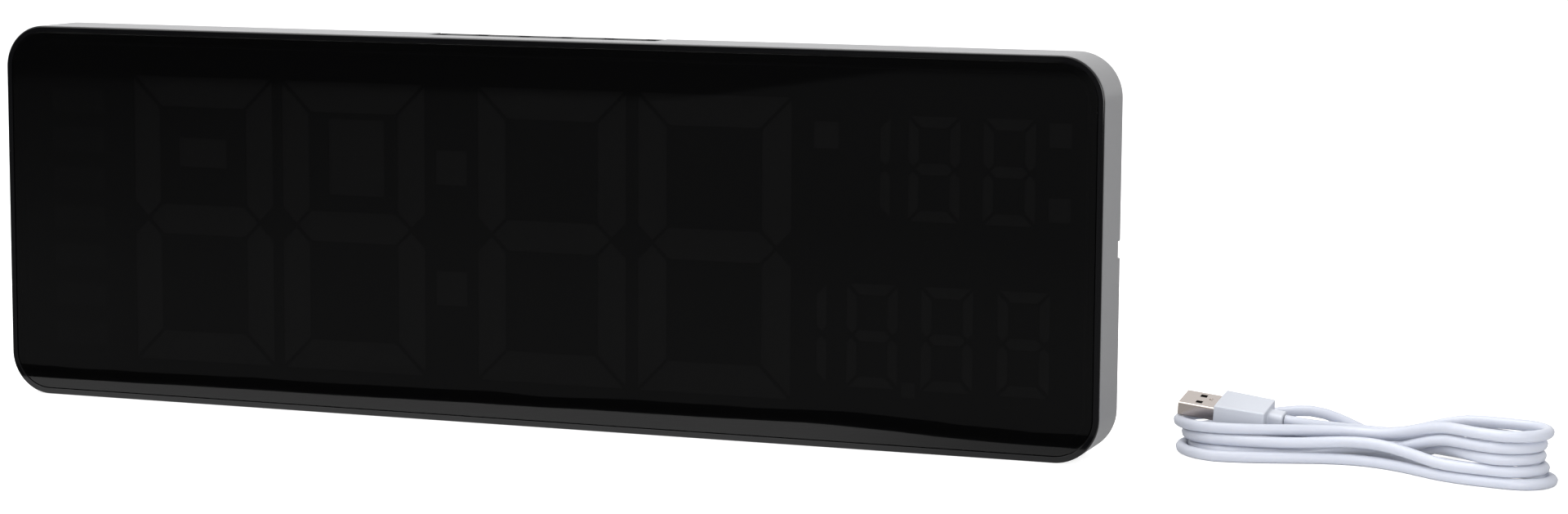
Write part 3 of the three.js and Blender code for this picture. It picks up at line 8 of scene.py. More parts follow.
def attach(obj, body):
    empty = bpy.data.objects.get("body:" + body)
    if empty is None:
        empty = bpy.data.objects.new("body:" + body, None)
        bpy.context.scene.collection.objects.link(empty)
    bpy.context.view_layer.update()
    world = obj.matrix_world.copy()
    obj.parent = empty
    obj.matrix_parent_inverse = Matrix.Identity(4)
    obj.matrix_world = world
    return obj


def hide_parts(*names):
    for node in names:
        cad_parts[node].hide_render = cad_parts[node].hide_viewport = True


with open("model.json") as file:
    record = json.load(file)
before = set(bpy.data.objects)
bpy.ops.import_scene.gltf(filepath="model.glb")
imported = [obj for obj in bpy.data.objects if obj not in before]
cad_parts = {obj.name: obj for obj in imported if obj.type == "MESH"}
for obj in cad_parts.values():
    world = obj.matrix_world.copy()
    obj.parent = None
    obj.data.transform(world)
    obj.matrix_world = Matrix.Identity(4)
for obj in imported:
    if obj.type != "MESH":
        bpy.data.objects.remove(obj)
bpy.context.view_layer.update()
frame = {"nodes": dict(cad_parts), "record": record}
nodes = frame["nodes"]
MM = 0.001

# How far a cutter reaches past what it cuts, and what counts as the same place, in millimetres
OVERRUN = 1
NEAR = 0.01

# How many sides round pieces have
BORE_SIDES = 24
HOLE_SIDES = 32
ROUND_SIDES = 40
HINGE_SIDES = 48

# What soften takes for a sharp and for a smooth edge, in degrees, and how flat it keeps faces
SHARP_ANGLE = 35
SMOOTH_ANGLE = 40
FLAT_WEIGHT = 100

# Camera: where the photographer stood, in millimetres and radians, and what it sees, in metres
CAMERA_AT = (462.138, -1062.073, 199.481)
CAMERA_TURN = 0.339
CAMERA_DIP = 0.123
CAMERA_ROLL = 0.007
CAMERA_LENS = 79.183
CAMERA_SENSOR = 36
CAMERA_RANGE = (0.01, 50)


def place_camera():
    """Aims the camera by its turn about Z, its dip below the horizon and its roll."""
    turn, dip, roll = CAMERA_TURN, CAMERA_DIP, CAMERA_ROLL
    back = Vector((math.sin(turn) * math.cos(dip), -math.cos(turn) * math.cos(dip), math.sin(dip)))
    side = (-back).cross(Vector((0, 0, 1))).normalized()
    top = side.cross(-back)
    right = math.cos(roll) * side + math.sin(roll) * top
    up = -math.sin(roll) * side + math.cos(roll) * top
    data = bpy.data.cameras.new("camera")
    data.lens = CAMERA_LENS
    data.sensor_width = CAMERA_SENSOR
    data.sensor_fit = "HORIZONTAL"
    data.clip_start, data.clip_end = CAMERA_RANGE
    camera = bpy.data.objects.new("camera", data)
    bpy.context.scene.collection.objects.link(camera)
    at = Vector(CAMERA_AT) * MM
    camera.matrix_world = Matrix(
        (
            (right.x, up.x, back.x, at.x),
            (right.y, up.y, back.y, at.y),
            (right.z, up.z, back.z, at.z),
            (0, 0, 0, 1),
        )
    )
    bpy.context.scene.camera = camera


# Clock sizes, in millimetres
WIDTH = 396
HEIGHT = 130
DEPTH = 24
CORNER = 14.7
CORNER_STEPS = 20
GAP = 0.3
WALL = 2.2
FRONT = -DEPTH / 2
REAR = DEPTH / 2

# Power lead, as the clock's maker lays it in a hank
LEAD_DIAMETER = 3.2
SHEATH_RADIUS = 1.82
SHEATH_STEPS = 5
LEAD_LOOPS = 5
LEAD_PITCH = 3.66
LEAD_COLUMN = 4.6
LEAD_LEFT_RADIUS = 9.8
LEAD_WAIST_HALF = 2.3
LEAD_RIGHT_RADIUS = 10.2
LEAD_RIGHT_STEP = 0.3
LEAD_SPAN = 99.5
LEAD_LEFT_X = (6.1, 4.5, 5.3, 3, 0, 0)
LEAD_RIGHT_STAGGER = 3
LEAD_RIGHT_LEAN = 1.5
LEAD_BOW = 12
LEAD_AT = (228.9, 31)
LEAD_TURN = -0.236
LEAD_WAIST = 0.46
LEAD_DRAW = (0.22, 0.5)
LEAD_SPREAD = (0.5, 0.85)
LEAD_PLUG_LEVEL = 3
LEAD_PLUG_RISE = 0.22
LEAD_LOOSE_LOOP = 3
LEAD_LOOSE = (0.36, 0.75)
LEAD_WIDEN = 0.97
LEAD_SHIFT = 0.7
LEAD_START = 0.45
LEAD_START_OUT = 4
LEAD_START_LIFT = 0.2
LEAD_START_BOW = 0.6
LEAD_START_BOW_END = 0.3
LEAD_START_STEP = 1 / 8
LEAD_END = 0.48
LEAD_END_PULL = 8
LEFT_LEVELS = (0, 0, 0.25, 1.25, 2.25, 2.25)
LEFT_COLUMNS = (2, 0, 1, 1, 1, 0)
FRONT_LEVELS = (0, 1, 1, 1.6, 2.25)
BACK_LEVELS = (0, 0, 0, 1.2, 1, 2)
RIGHT_LEVELS = (0, 2, 3, 1, 4.06)
RUN_STEPS = 22
FOLD_STEPS = 16

# USB plug, in millimetres and radians
USB_AT = (215.45, 30.5, 15.2)
USB_TURN = -0.048
USB_SLOPE = 0.107
USB_LEAN = 0.198
SHELL_WIDTH = 12
SHELL_HEIGHT = 4.5
SHELL_LENGTH = 12
SHELL_WALL = 0.4
BODY_WIDTH = 15.4
BODY_HEIGHT = 7.6
BODY_LENGTH = 17
COLLAR_LENGTH = 5
USB_LENGTH = SHELL_LENGTH + BODY_LENGTH + COLLAR_LENGTH

# Power plug, in millimetres
DC_RADIUS = 3.2
DC_LENGTH = 16


def ease(share):
    """Rises smoothly from 0 to 1 and stays level before and after."""
    t = min(max(share, 0), 1)
    return t * t * (3 - 2 * t)


def ease_within(share, ends):
    return ease((share - ends[0]) / (ends[1] - ends[0]))


def left_radius(fold):
    return LEAD_LEFT_RADIUS + LEAD_COLUMN * LEFT_COLUMNS[fold]


def waist_half(fold):
    return LEAD_WAIST_HALF + LEAD_COLUMN * LEFT_COLUMNS[fold]


def right_radius(loop):
    return LEAD_RIGHT_RADIUS + LEAD_RIGHT_STEP * RIGHT_LEVELS[loop]


def right_x(loop):
    place = RIGHT_LEVELS[loop] * 2 / (LEAD_LOOPS - 1) - 1
    return LEAD_SPAN - LEAD_RIGHT_STAGGER * (1 - place**2) - LEAD_RIGHT_LEAN * place


def level_z(level):
    return LEAD_DIAMETER / 2 + LEAD_PITCH * level


def run_z(share, fold, loop):
    """A run goes from its left fold's level to its level in the waist and on to its right fold's."""
    low, high = LEFT_LEVELS[fold], RIGHT_LEVELS[loop]
    passing = LEAD_PLUG_LEVEL if fold == LEAD_LOOPS - 1 and loop < fold else low
    waist = FRONT_LEVELS[fold] if fold == loop else BACK_LEVELS[fold]
    climb = (passing - low) * ease(share / LEAD_PLUG_RISE)
    draw = (waist - passing) * ease_within(share, LEAD_DRAW)
    return level_z(low + climb + draw + (high - waist) * ease_within(share, LEAD_SPREAD))


def looseness(share, loop):
    """One loop lies outside the others in the middle, where it crosses them."""
    start, end = LEAD_LOOSE
    if loop != LEAD_LOOSE_LOOP:
        return 0
    return LEAD_COLUMN * (ease(share / start) - ease((share - end) / (1 - end)))


def run_half(share, fold, loop):
    """How far a run lies from the hank's middle line."""
    widen = LEAD_RIGHT_RADIUS - LEAD_WAIST_HALF - LEAD_COLUMN
    waist = waist_half(fold)
    drawn_in = left_radius(fold) + (waist - left_radius(fold)) * ease(share / LEAD_WAIST)
    opening = widen * ease((share - LEAD_WAIST) / (LEAD_WIDEN - LEAD_WAIST))
    shift = ease((share - LEAD_SHIFT) / (1 - LEAD_SHIFT))
    return drawn_in + opening + (right_radius(loop) - waist - widen) * shift + looseness(share, loop)


def bow(x):
    """How far the whole hank bows to the rear between its ends."""
    return LEAD_BOW * math.sin(math.pi * min(max(x / LEAD_SPAN, 0), 1)) ** 2


def lead_frame():
    return Matrix.Translation((LEAD_AT[0], LEAD_AT[1], 0)) @ Matrix.Rotation(LEAD_TURN, 4, "Z")


def usb_frame():
    turned = Matrix.Rotation(USB_TURN, 4, "Z") @ Matrix.Rotation(USB_SLOPE, 4, "Y")
    return Matrix.Translation(USB_AT) @ turned @ Matrix.Rotation(USB_LEAN, 4, "X")


def usb_point(distance):
    """A place on the USB plug's axis, behind its collar."""
    return usb_frame() @ Vector((USB_LENGTH + GAP + distance, 0, 0))


def run_point(share, fold, loop, side):
    x = LEAD_LEFT_X[fold] + (right_x(loop) - LEAD_LEFT_X[fold]) * share
    return Vector((x, side * run_half(share, fold, loop) + bow(x), run_z(share, fold, loop)))


def fold_points(x, radius, z, side):
    """A half turn at one end of the hank."""
    angles = [math.pi * step / FOLD_STEPS for step in range(FOLD_STEPS + 1)]
    return [Vector((x + side * radius * math.sin(a), -side * radius * math.cos(a), z)) for a in angles]


def shares(start, end):
    """The steps between two ends, without the ends."""
    return [start + (end - start) * (step + 1) / RUN_STEPS for step in range(RUN_STEPS - 1)]


def start_point(share):
    """A place on the first run, which comes from the power plug."""
    x = LEAD_LEFT_X[0] + share * LEAD_SPAN
    bulge = LEAD_START_BOW * bow(x) * ease(share / LEAD_START_BOW_END)
    lift = ease((share - LEAD_START_LIFT) / (LEAD_START - LEAD_START_LIFT))
    z = level_z(0) + (DC_RADIUS - level_z(0)) * lift
    return Vector((x, left_radius(0) + LEAD_START_OUT * ease(share / LEAD_START) + bulge, z))


def start_heading():
    """The angle at which the lead meets the power plug, in the hank's own frame."""
    end = start_point(LEAD_START)
    before = start_point(LEAD_START * (1 - LEAD_START_STEP))
    return math.atan2(end.y - before.y, end.x - before.x)


def end_points():
    """The last run, the bend that leaves it and the way into the USB plug."""
    last = LEAD_LOOPS - 1
    frame_in = lead_frame()

    def run_at(share):
        return frame_in @ run_point(share, LEAD_LOOPS, last, 1)

    steps = RUN_STEPS // 2
    run = [run_at(1 - (1 - LEAD_END) * (step + 1) / steps) for step in range(steps - 1)]
    leave = run_at(LEAD_END)
    heading = (leave - run_at(LEAD_END + 1 / LEAD_SPAN)).normalized() * LEAD_END_PULL
    corners = (leave, leave + heading, usb_point(LEAD_DIAMETER + LEAD_END_PULL), usb_point(LEAD_DIAMETER))
    bend = []
    for step in range(FOLD_STEPS + 1):
        t = step / FOLD_STEPS
        weights = ((1 - t) ** 3, 3 * t * (1 - t) ** 2, 3 * t * t * (1 - t), t**3)
        bend.append(sum((w * c for w, c in zip(weights, corners)), Vector()))
    return run + bend + [usb_point(0)]


def lead_route():
    """The lead's centre line in metres, from the USB plug to the power plug."""
    angle = start_heading()
    end = start_point(LEAD_START)
    points = [end + Vector((math.cos(angle), math.sin(angle), 0)) * LEAD_DIAMETER, end]
    points += [start_point(share) for share in shares(LEAD_START, 0)]
    for loop in range(LEAD_LOOPS):
        points += fold_points(LEAD_LEFT_X[loop], left_radius(loop), level_z(LEFT_LEVELS[loop]), -1)
        points += [run_point(share, loop, loop, -1) for share in shares(0, 1)]
        points += fold_points(right_x(loop), right_radius(loop), level_z(RIGHT_LEVELS[loop]), 1)
        if loop < LEAD_LOOPS - 1:
            points += [run_point(share, loop + 1, loop, 1) for share in shares(1, 0)]
    points = [lead_frame() @ point for point in points] + end_points()
    points.reverse()
    return [point * MM for point in points]


def make_lead():
    route = lead_route()
    data = bpy.data.curves.new("lead", "CURVE")
    data.dimensions = "3D"
    data.bevel_depth = SHEATH_RADIUS * MM
    data.bevel_resolution = SHEATH_STEPS
    data.use_fill_caps = True
    spline = data.splines.new("POLY")
    spline.points.add(len(route) - 1)
    for slot, point in zip(spline.points, route):
        slot.co = (*point, 1)
    spline.use_smooth = True
    lead = bpy.data.objects.new("lead", data)
    bpy.context.scene.collection.objects.link(lead)
    length = sum((b - a).length for a, b in zip(route, route[1:]))
    return lead, route, length


# Making pieces
def around(middle, half):
    return (middle - half, middle + half)


def deselect():
    if bpy.context.object and bpy.context.object.mode != "OBJECT":
        bpy.ops.object.mode_set(mode="OBJECT")
    bpy.ops.object.select_all(action="DESELECT")


def pick(piece):
    deselect()
    piece.select_set(True)
    bpy.context.view_layer.objects.active = piece


def settle(piece, name):
    """Puts a new piece's place into its mesh and names it."""
    pick(piece)
    bpy.ops.object.transform_apply(location=True, rotation=True, scale=True)
    piece.name = name
    piece.data.name = name
    return piece


def block(name, xs, ys, zs):
    deselect()
    low = Vector((xs[0], ys[0], zs[0])) * MM
    high = Vector((xs[1], ys[1], zs[1])) * MM
    bpy.ops.mesh.primitive_cube_add(size=1, location=(low + high) / 2, scale=high - low)
    return settle(bpy.context.object, name)


def mark_edges(piece, test):
    """Selects the edges whose two ends pass the test, and leaves the piece in edit mode."""
    pick(piece)
    bpy.ops.object.mode_set(mode="EDIT")
    bpy.ops.mesh.select_mode(type="EDGE")
    bpy.ops.mesh.select_all(action="DESELECT")
    bpy.ops.object.mode_set(mode="OBJECT")
    mesh = piece.data
    for edge in mesh.edges:
        a, b = (mesh.vertices[i].co / MM for i in edge.vertices)
        edge.select = test(a, b)
    bpy.ops.object.mode_set(mode="EDIT")


def round_edges(piece, test, radius, segments):
    """Rounds the edges whose two ends pass the test."""
    mark_edges(piece, test)
    bpy.ops.mesh.bevel(offset=radius * MM, segments=segments, affect="EDGES", clamp_overlap=False)
    bpy.ops.object.mode_set(mode="OBJECT")
    return piece


def along(axis):
    """A test for edges that run along one axis."""
    others = [i for i in range(3) if i != axis]
    return lambda a, b: all(abs(a[i] - b[i]) < NEAR for i in others) and abs(a[axis] - b[axis]) > NEAR


def plate(name, inset, y0, y1):
    """The clock's outline drawn in from its edge, between two depths."""
    piece = block(name, around(0, WIDTH / 2 - inset), (y0, y1), (inset, HEIGHT - inset))
    return round_edges(piece, along(1), CORNER - inset, CORNER_STEPS)


def rod(name, at, radius, length, axis, sides):
    """A round bar with its middle at a place, along X, Y or Z."""
    deselect()
    turns = {"X": (0, math.pi / 2, 0), "Y": (math.pi / 2, 0, 0), "Z": (0, 0, 0)}
    bpy.ops.mesh.primitive_cylinder_add(
        vertices=sides, radius=radius * MM, depth=length * MM,
        location=Vector(at) * MM, rotation=turns[axis],
    )
    return settle(bpy.context.object, name)


def combine(piece, other, operation):
    pick(piece)
    step = piece.modifiers.new(operation, "BOOLEAN")
    step.operation = operation
    step.object = other
    step.solver = "EXACT"
    bpy.ops.object.modifier_apply(modifier=step.name)
    bpy.data.objects.remove(other)
    return piece


def cut(piece, *cutters):
    for cutter in cutters:
        combine(piece, cutter, "DIFFERENCE")
    return piece


def join(piece, *others):
    for other in others:
        combine(piece, other, "UNION")
    return piece


def soften(piece, width, segments=3):
    """Rounds every sharp edge and shades the rounds smooth."""
    pick(piece)
    step = piece.modifiers.new("edges", "BEVEL")
    step.width = width * MM
    step.segments = segments
    step.limit_method = "ANGLE"
    step.angle_limit = math.radians(SHARP_ANGLE)
    step.use_clamp_overlap = True
    bpy.ops.object.modifier_apply(modifier=step.name)
    bpy.ops.object.shade_smooth_by_angle(angle=math.radians(SMOOTH_ANGLE))
    flat = piece.modifiers.new("flat faces", "WEIGHTED_NORMAL")
    flat.keep_sharp = True
    flat.weight = FLAT_WEIGHT
    bpy.ops.object.modifier_apply(modifier=flat.name)
    return piece


def carry(piece, matrix):
    """Moves a piece that was drawn in a plug's own frame, in millimetres, to where the plug lies."""
    scaled = matrix.copy()
    scaled.translation = matrix.translation * MM
    piece.data.transform(scaled)
    piece.data.update()
    return piece


# Node helpers
def feed(tree, socket, value):
    """Gives a socket a number or another node's output."""
    if isinstance(value, (int, float)):
        socket.default_value = value
    else:
        tree.links.new(value, socket)


def math_step(tree, operation, *values):
    step = tree.nodes.new("ShaderNodeMath")
    step.operation = operation
    for socket, value in zip(step.inputs, values):
        feed(tree, socket, value)
    return step.outputs[0]


def smooth_step(tree, value, low, high, start=0, end=1):
    """Goes smoothly from start to end while the value goes from low to high."""
    span = tree.nodes.new("ShaderNodeMapRange")
    span.interpolation_type = "SMOOTHSTEP"
    for name, limit in (("From Min", low), ("From Max", high), ("To Min", start), ("To Max", end)):
        span.inputs[name].default_value = limit
    tree.links.new(value, span.inputs["Value"])
    return span.outputs[0]


def place_on_piece(tree):
    return tree.nodes.new("ShaderNodeTexCoord").outputs["Object"]


def place_parts(tree):
    parts = tree.nodes.new("ShaderNodeSeparateXYZ")
    tree.links.new(place_on_piece(tree), parts.inputs[0])
    return parts.outputs


def noise(tree, scale, detail):
    made = tree.nodes.new("ShaderNodeTexNoise")
    feed(tree, made.inputs["Scale"], scale)
    feed(tree, made.inputs["Detail"], detail)
    tree.links.new(place_on_piece(tree), made.inputs["Vector"])
    return made.outputs["Fac"]


def shader(tree, kind, **inputs):
    made = tree.nodes.new(kind)
    for name, value in inputs.items():
        made.inputs[name].default_value = value
    return made.outputs[0]


def mixed(tree, share, first, second):
    mix = tree.nodes.new("ShaderNodeMixShader")
    for socket, value in zip(mix.inputs, (share, first, second)):
        tree.links.new(value, socket)
    return mix.outputs[0]


def group_sockets(tree, inputs, outputs):
    for name, kind, value in inputs:
        socket = tree.interface.new_socket(name, in_out="INPUT", socket_type=kind)
        socket.default_value = value
    for name, kind in outputs:
        tree.interface.new_socket(name, in_out="OUTPUT", socket_type=kind)
    return tree.nodes.new("NodeGroupInput"), tree.nodes.new("NodeGroupOutput")


# Materials
NOISE_MIDDLE = 0.5
GRAIN_DETAIL = 3
DRIFT_SCALE = 22
DRIFT_DETAIL = 4
RELIEF_DEPTH = 0.05 * MM


def moulded_surface():
    """Fine moulding texture: a speckle for the bump, a slow drift for the gloss and a colour drift."""
    tree = bpy.data.node_groups.new("moulded surface", "ShaderNodeTree")
    given, result = group_sockets(
        tree,
        [
            ("Grain size", "NodeSocketFloat", 2500.0),
            ("Roughness", "NodeSocketFloat", 0.4),
            ("Roughness drift", "NodeSocketFloat", 0.08),
            ("Colour", "NodeSocketColor", (0.5, 0.5, 0.5, 1)),
            ("Colour drift", "NodeSocketFloat", 0.04),
        ],
        [("Colour", "NodeSocketColor"), ("Roughness", "NodeSocketFloat"), ("Height", "NodeSocketFloat")],
    )
    wanted = given.outputs
    drift = math_step(tree, "SUBTRACT", noise(tree, DRIFT_SCALE, DRIFT_DETAIL), NOISE_MIDDLE)
    shade = tree.nodes.new("ShaderNodeVectorMath")
    shade.operation = "SCALE"
    feed(tree, shade.inputs[0], wanted["Colour"])
    feed(tree, shade.inputs["Scale"], math_step(tree, "MULTIPLY_ADD", drift, wanted["Colour drift"], 1))
    rough = math_step(tree, "MULTIPLY_ADD", drift, wanted["Roughness drift"], wanted["Roughness"])
    feed(tree, result.inputs["Colour"], shade.outputs[0])
    feed(tree, result.inputs["Roughness"], rough)
    feed(tree, result.inputs["Height"], noise(tree, wanted["Grain size"], GRAIN_DETAIL))
    return tree


MOULDED = moulded_surface()


def material(name, colour, roughness, grain=2500, bump=0.0, drift=0.08, tint=0.04, **sockets):
    made = bpy.data.materials.new(name)
    made.use_nodes = True
    tree = made.node_tree
    principled = tree.nodes["Principled BSDF"]
    surface = tree.nodes.new("ShaderNodeGroup")
    surface.node_tree = MOULDED
    surface.inputs["Grain size"].default_value = grain
    surface.inputs["Roughness"].default_value = roughness
    surface.inputs["Roughness drift"].default_value = drift
    surface.inputs["Colour"].default_value = (*colour, 1)
    surface.inputs["Colour drift"].default_value = tint
    tree.links.new(surface.outputs["Colour"], principled.inputs["Base Color"])
    tree.links.new(surface.outputs["Roughness"], principled.inputs["Roughness"])
    if bump:
        relief = tree.nodes.new("ShaderNodeBump")
        relief.inputs["Strength"].default_value = bump
        relief.inputs["Distance"].default_value = RELIEF_DEPTH
        tree.links.new(surface.outputs["Height"], relief.inputs["Height"])
        tree.links.new(relief.outputs["Normal"], principled.inputs["Normal"])
    for socket, value in sockets.items():
        principled.inputs[socket.replace("_", " ")].default_value = value
    return made


def grade(made, socket, axis, ends, values):
    """Lets one socket of a material change smoothly between two places along an axis."""
    tree = made.node_tree
    low, high = ends[0] * MM, ends[1] * MM
    graded = smooth_step(tree, place_parts(tree)[axis], low, high, *values)
    tree.links.new(graded, tree.nodes["Principled BSDF"].inputs[socket])


def coat(piece, finish):
    piece.data.materials.clear()
    piece.data.materials.append(finish)


satin_grey = material("satin grey housing", (0.218, 0.218, 0.226), 0.34, grain=5200, bump=0.12, drift=0.05)
gloss_black = material("gloss black ring", (0.003, 0.003, 0.0035), 0.07, drift=0.03)
smoked = material("smoked lens", (0.0012, 0.0012, 0.0013), 0.02, drift=0.01, tint=0.1, Alpha=0.8)
# The smoke is thicker over the weekday labels at the left
grade(smoked, "Alpha", "X", (-166, -144), (0.87, 0.8))
matt_black = material("matt black inside", (0.004, 0.004, 0.0045), 0.6)
textured_black = material("textured black cover", (0.024, 0.024, 0.025), 0.6, grain=1500, bump=0.5)
# The button strip on top is duller than the back
grade(textured_black, "Specular IOR Level", "Z", (128.6, 129.6), (0.4, 0.0))
button_black = material("satin black buttons", (0.014, 0.014, 0.015), 0.5, bump=0.1, Specular_IOR_Level=0.2)
milk_white = material("milk white", (0.78, 0.78, 0.76), 0.5)
board_green = material("board green", (0.03, 0.16, 0.07), 0.4)
rubber_black = material("rubber", (0.02, 0.02, 0.02), 0.8)
screw_steel = material("screw steel", (0.5, 0.5, 0.51), 0.32, Metallic=1.0)
plug_nickel = material("nickel shell", (0.54, 0.48, 0.445), 0.2, grain=3000, bump=0.05, Metallic=1.0)
SOFT = {"Subsurface_Weight": 0.5, "Subsurface_Radius": (1.0, 0.95, 0.9), "Subsurface_Scale": 1.5 * MM}
lead_white = material("white sheath", (0.605, 0.63, 0.71), 0.42, grain=4000, bump=0.12, **SOFT)
plug_white = material("white plug body", (0.63, 0.655, 0.72), 0.38, grain=4000, bump=0.1)

FINISHES = {
    "housing_grey": satin_grey,
    "ring_black": gloss_black,
    "lens_smoked": smoked,
    "gasket_rubber": rubber_black,
    "inner_black": matt_black,
    "milk_white": milk_white,
    "board_green": board_green,
    "cell_steel": screw_steel,
    "cover_black": textured_black,
    "button_black": button_black,
    "screw_steel": screw_steel,
    "plug_nickel": plug_nickel,
    "lead_white": lead_white,
}


def dress_nodes():
    """Gives each solid the finish of its slot."""
    for entry in frame["record"]["subparts"]:
        coat(nodes[entry["node"]], FINISHES[entry["material_slot"]])


def show(piece, body, slot, finish, *replaced):
    """Gives a piece its finish, its body and the solids that it stands for. The slot is not used."""
    coat(piece, finish)
    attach(piece, body)
    if replaced:
        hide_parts(*replaced)
    return piece


# Housing, front ring and lens, in millimetres
HOUSING_FRONT = FRONT + 1.3
LIP_INSET = 0.9
SHELF_INSET = 6
SHELF_FRONT = -7.5
SHELF_REAR = -6.3
STRIP_FRONT = 0.5
STRIP_HALF = 41.2
STRIP_Z = (127.4, 129.8)
SOCKET_Z = HEIGHT * 0.513
NOTCH_FRONT = REAR - 2.5
NOTCH_HALF = 2.4
FOOT_X = WIDTH * 0.38
FOOT_LENGTH = 46
FOOT_PAST_HINGE = 3
POCKET_FRONT = 6
RING_FLANGE = 1
RING_FACE = 2
RING_EDGE = 0.5
RING_REAR = -7.8
LEDGE_FRONT = -8.8
LEDGE_INSET = 5.2
LENS_FRONT = FRONT + 0.2
LENS_REAR = FRONT + 2.2


def foot_pocket(side):
    return sorted((side * (FOOT_X - FOOT_LENGTH - GAP), side * (FOOT_X + FOOT_PAST_HINGE)))


def make_housing():
    beyond = REAR + OVERRUN
    piece = plate("housing_shell", 0, HOUSING_FRONT, REAR)
    cut(piece, plate("lip", LIP_INSET, FRONT, SHELF_FRONT))
    cut(piece, plate("opening", SHELF_INSET, SHELF_FRONT - OVERRUN, SHELF_REAR + OVERRUN))
    cut(piece, plate("inside", WALL, SHELF_REAR, beyond))
    top = (HEIGHT - WALL - OVERRUN, HEIGHT + OVERRUN)
    cut(piece, block("strip", around(0, STRIP_HALF + GAP), (STRIP_FRONT - GAP, beyond), top))
    for side in (-1, 1):
        cut(piece, block("foot", foot_pocket(side), (POCKET_FRONT, beyond), (-OVERRUN, WALL + OVERRUN)))
    edge = (WIDTH / 2 - WALL - OVERRUN, WIDTH / 2 + OVERRUN)
    cut(piece, block("notch", edge, (NOTCH_FRONT, beyond), around(SOCKET_Z, NOTCH_HALF + GAP)))
    return soften(piece, 0.35)


def make_ring():
    piece = plate("ring", 0, FRONT, FRONT + RING_FLANGE)
    round_edges(piece, lambda a, b: max(a.y, b.y) < FRONT + NEAR, RING_EDGE, 5)
    join(piece, plate("web", LIP_INSET + GAP, FRONT + RING_FLANGE / 2, RING_REAR))
    cut(piece, plate("window", RING_FACE, FRONT - OVERRUN, LEDGE_FRONT))
    cut(piece, plate("ledge", LEDGE_INSET, LEDGE_FRONT - OVERRUN, RING_REAR + OVERRUN))
    return soften(piece, 0.1, 2)


def make_lens():
    return soften(plate("lens", RING_FACE + GAP, LENS_FRONT, LENS_REAR), 0.04, 2)


# Plugs in millimetres, each in its own frame with X along it
BODY_TAPER = 0.9
COLLAR_HALF_WIDTH = 3.1
COLLAR_HALF_HEIGHT = 2.4
COLLAR_ROUND = 1.6
SHELL_ROUND = 0.6
SHELL_INNER_ROUND = 0.3
HOLE_X = (5.1, 7.3)
HOLE_Y = 2.75
HOLE_HALF = 1.1
LATCH_AT = (9.4, 0.8)
LATCH_RADIUS = 0.95
LATCH_INNER_RADIUS = 0.5
LATCH_DEPTH = 0.2
LATCH_END = 9.8
DC_TAPER = 0.7
GROOVE_COUNT = 3
GROOVE_START = 2.4
GROOVE_PITCH = 1.8
GROOVE_WIDTH = 0.7
GROOVE_RADIUS = 5
GROOVE_FLOOR_RADIUS = 2.1
BARREL_RADIUS = 1.7
BARREL_LENGTH = 9
BORE_RADIUS = 0.8
BORE_START = 2.5


def make_usb_body():
    start = SHELL_LENGTH + GAP
    end = SHELL_LENGTH + BODY_LENGTH
    piece = block("usb_moulding", (start, end), around(0, BODY_WIDTH / 2), around(0, BODY_HEIGHT / 2))
    for vertex in piece.data.vertices:
        if vertex.co.x > (start + end) / 2 * MM:
            vertex.co.y *= BODY_TAPER
    reach = (end - OVERRUN, end + COLLAR_LENGTH)
    collar = block("collar", reach, around(0, COLLAR_HALF_WIDTH), around(0, COLLAR_HALF_HEIGHT))
    round_edges(collar, along(0), COLLAR_ROUND, 5)
    join(piece, collar)
    return carry(soften(piece, 0.5, 4), usb_frame())


def latch_mark():
    """A shallow round groove that is open towards the moulding."""
    x, y = LATCH_AT
    top = SHELL_HEIGHT / 2
    mark = rod("latch_mark", (x, y, top), LATCH_RADIUS, 2 * LATCH_DEPTH, "Z", BORE_SIDES)
    core = rod("core", (x, y, top), LATCH_INNER_RADIUS, OVERRUN, "Z", BORE_SIDES)
    rest = block("rest", (LATCH_END, LATCH_END + 2 * OVERRUN), around(y, 2 * OVERRUN), around(top, OVERRUN))
    return cut(mark, core, rest)


def make_usb_shell():
    half_width, half_height = SHELL_WIDTH / 2, SHELL_HEIGHT / 2
    piece = block("usb_casing", (0, SHELL_LENGTH), around(0, half_width), around(0, half_height))
    round_edges(piece, along(0), SHELL_ROUND, 5)
    inner = block("inner", (-OVERRUN, SHELL_LENGTH + OVERRUN), around(0, half_width - SHELL_WALL),
                  around(0, half_height - SHELL_WALL))
    round_edges(inner, along(0), SHELL_INNER_ROUND, 3)
    cut(piece, inner)
    for side in (-1, 1):
        cut(piece, block("hole", HOLE_X, around(side * HOLE_Y, HOLE_HALF), around(0, SHELL_HEIGHT)))
    cut(piece, latch_mark())
    return carry(soften(piece, 0.08, 2), usb_frame())


def dc_frame():
    end = start_point(LEAD_START)
    place = Matrix.Translation((end.x, end.y, DC_RADIUS)) @ Matrix.Rotation(start_heading(), 4, "Z")
    return lead_frame() @ place


def make_dc_body():
    start = LEAD_DIAMETER + GAP
    piece = rod("power_moulding", (start + DC_LENGTH / 2, 0, 0), DC_RADIUS, DC_LENGTH, "X", ROUND_SIDES)
    for vertex in piece.data.vertices:
        if vertex.co.x < (start + DC_LENGTH / 2) * MM:
            vertex.co.y *= DC_TAPER
            vertex.co.z *= DC_TAPER
    for number in range(GROOVE_COUNT):
        at = (start + GROOVE_START + number * GROOVE_PITCH, 0, 0)
        groove = rod("groove", at, GROOVE_RADIUS, GROOVE_WIDTH, "X", BORE_SIDES)
        cut(groove, rod("core", at, GROOVE_FLOOR_RADIUS, OVERRUN, "X", BORE_SIDES))
        cut(piece, groove)
    return carry(soften(piece, 0.3, 3), dc_frame())


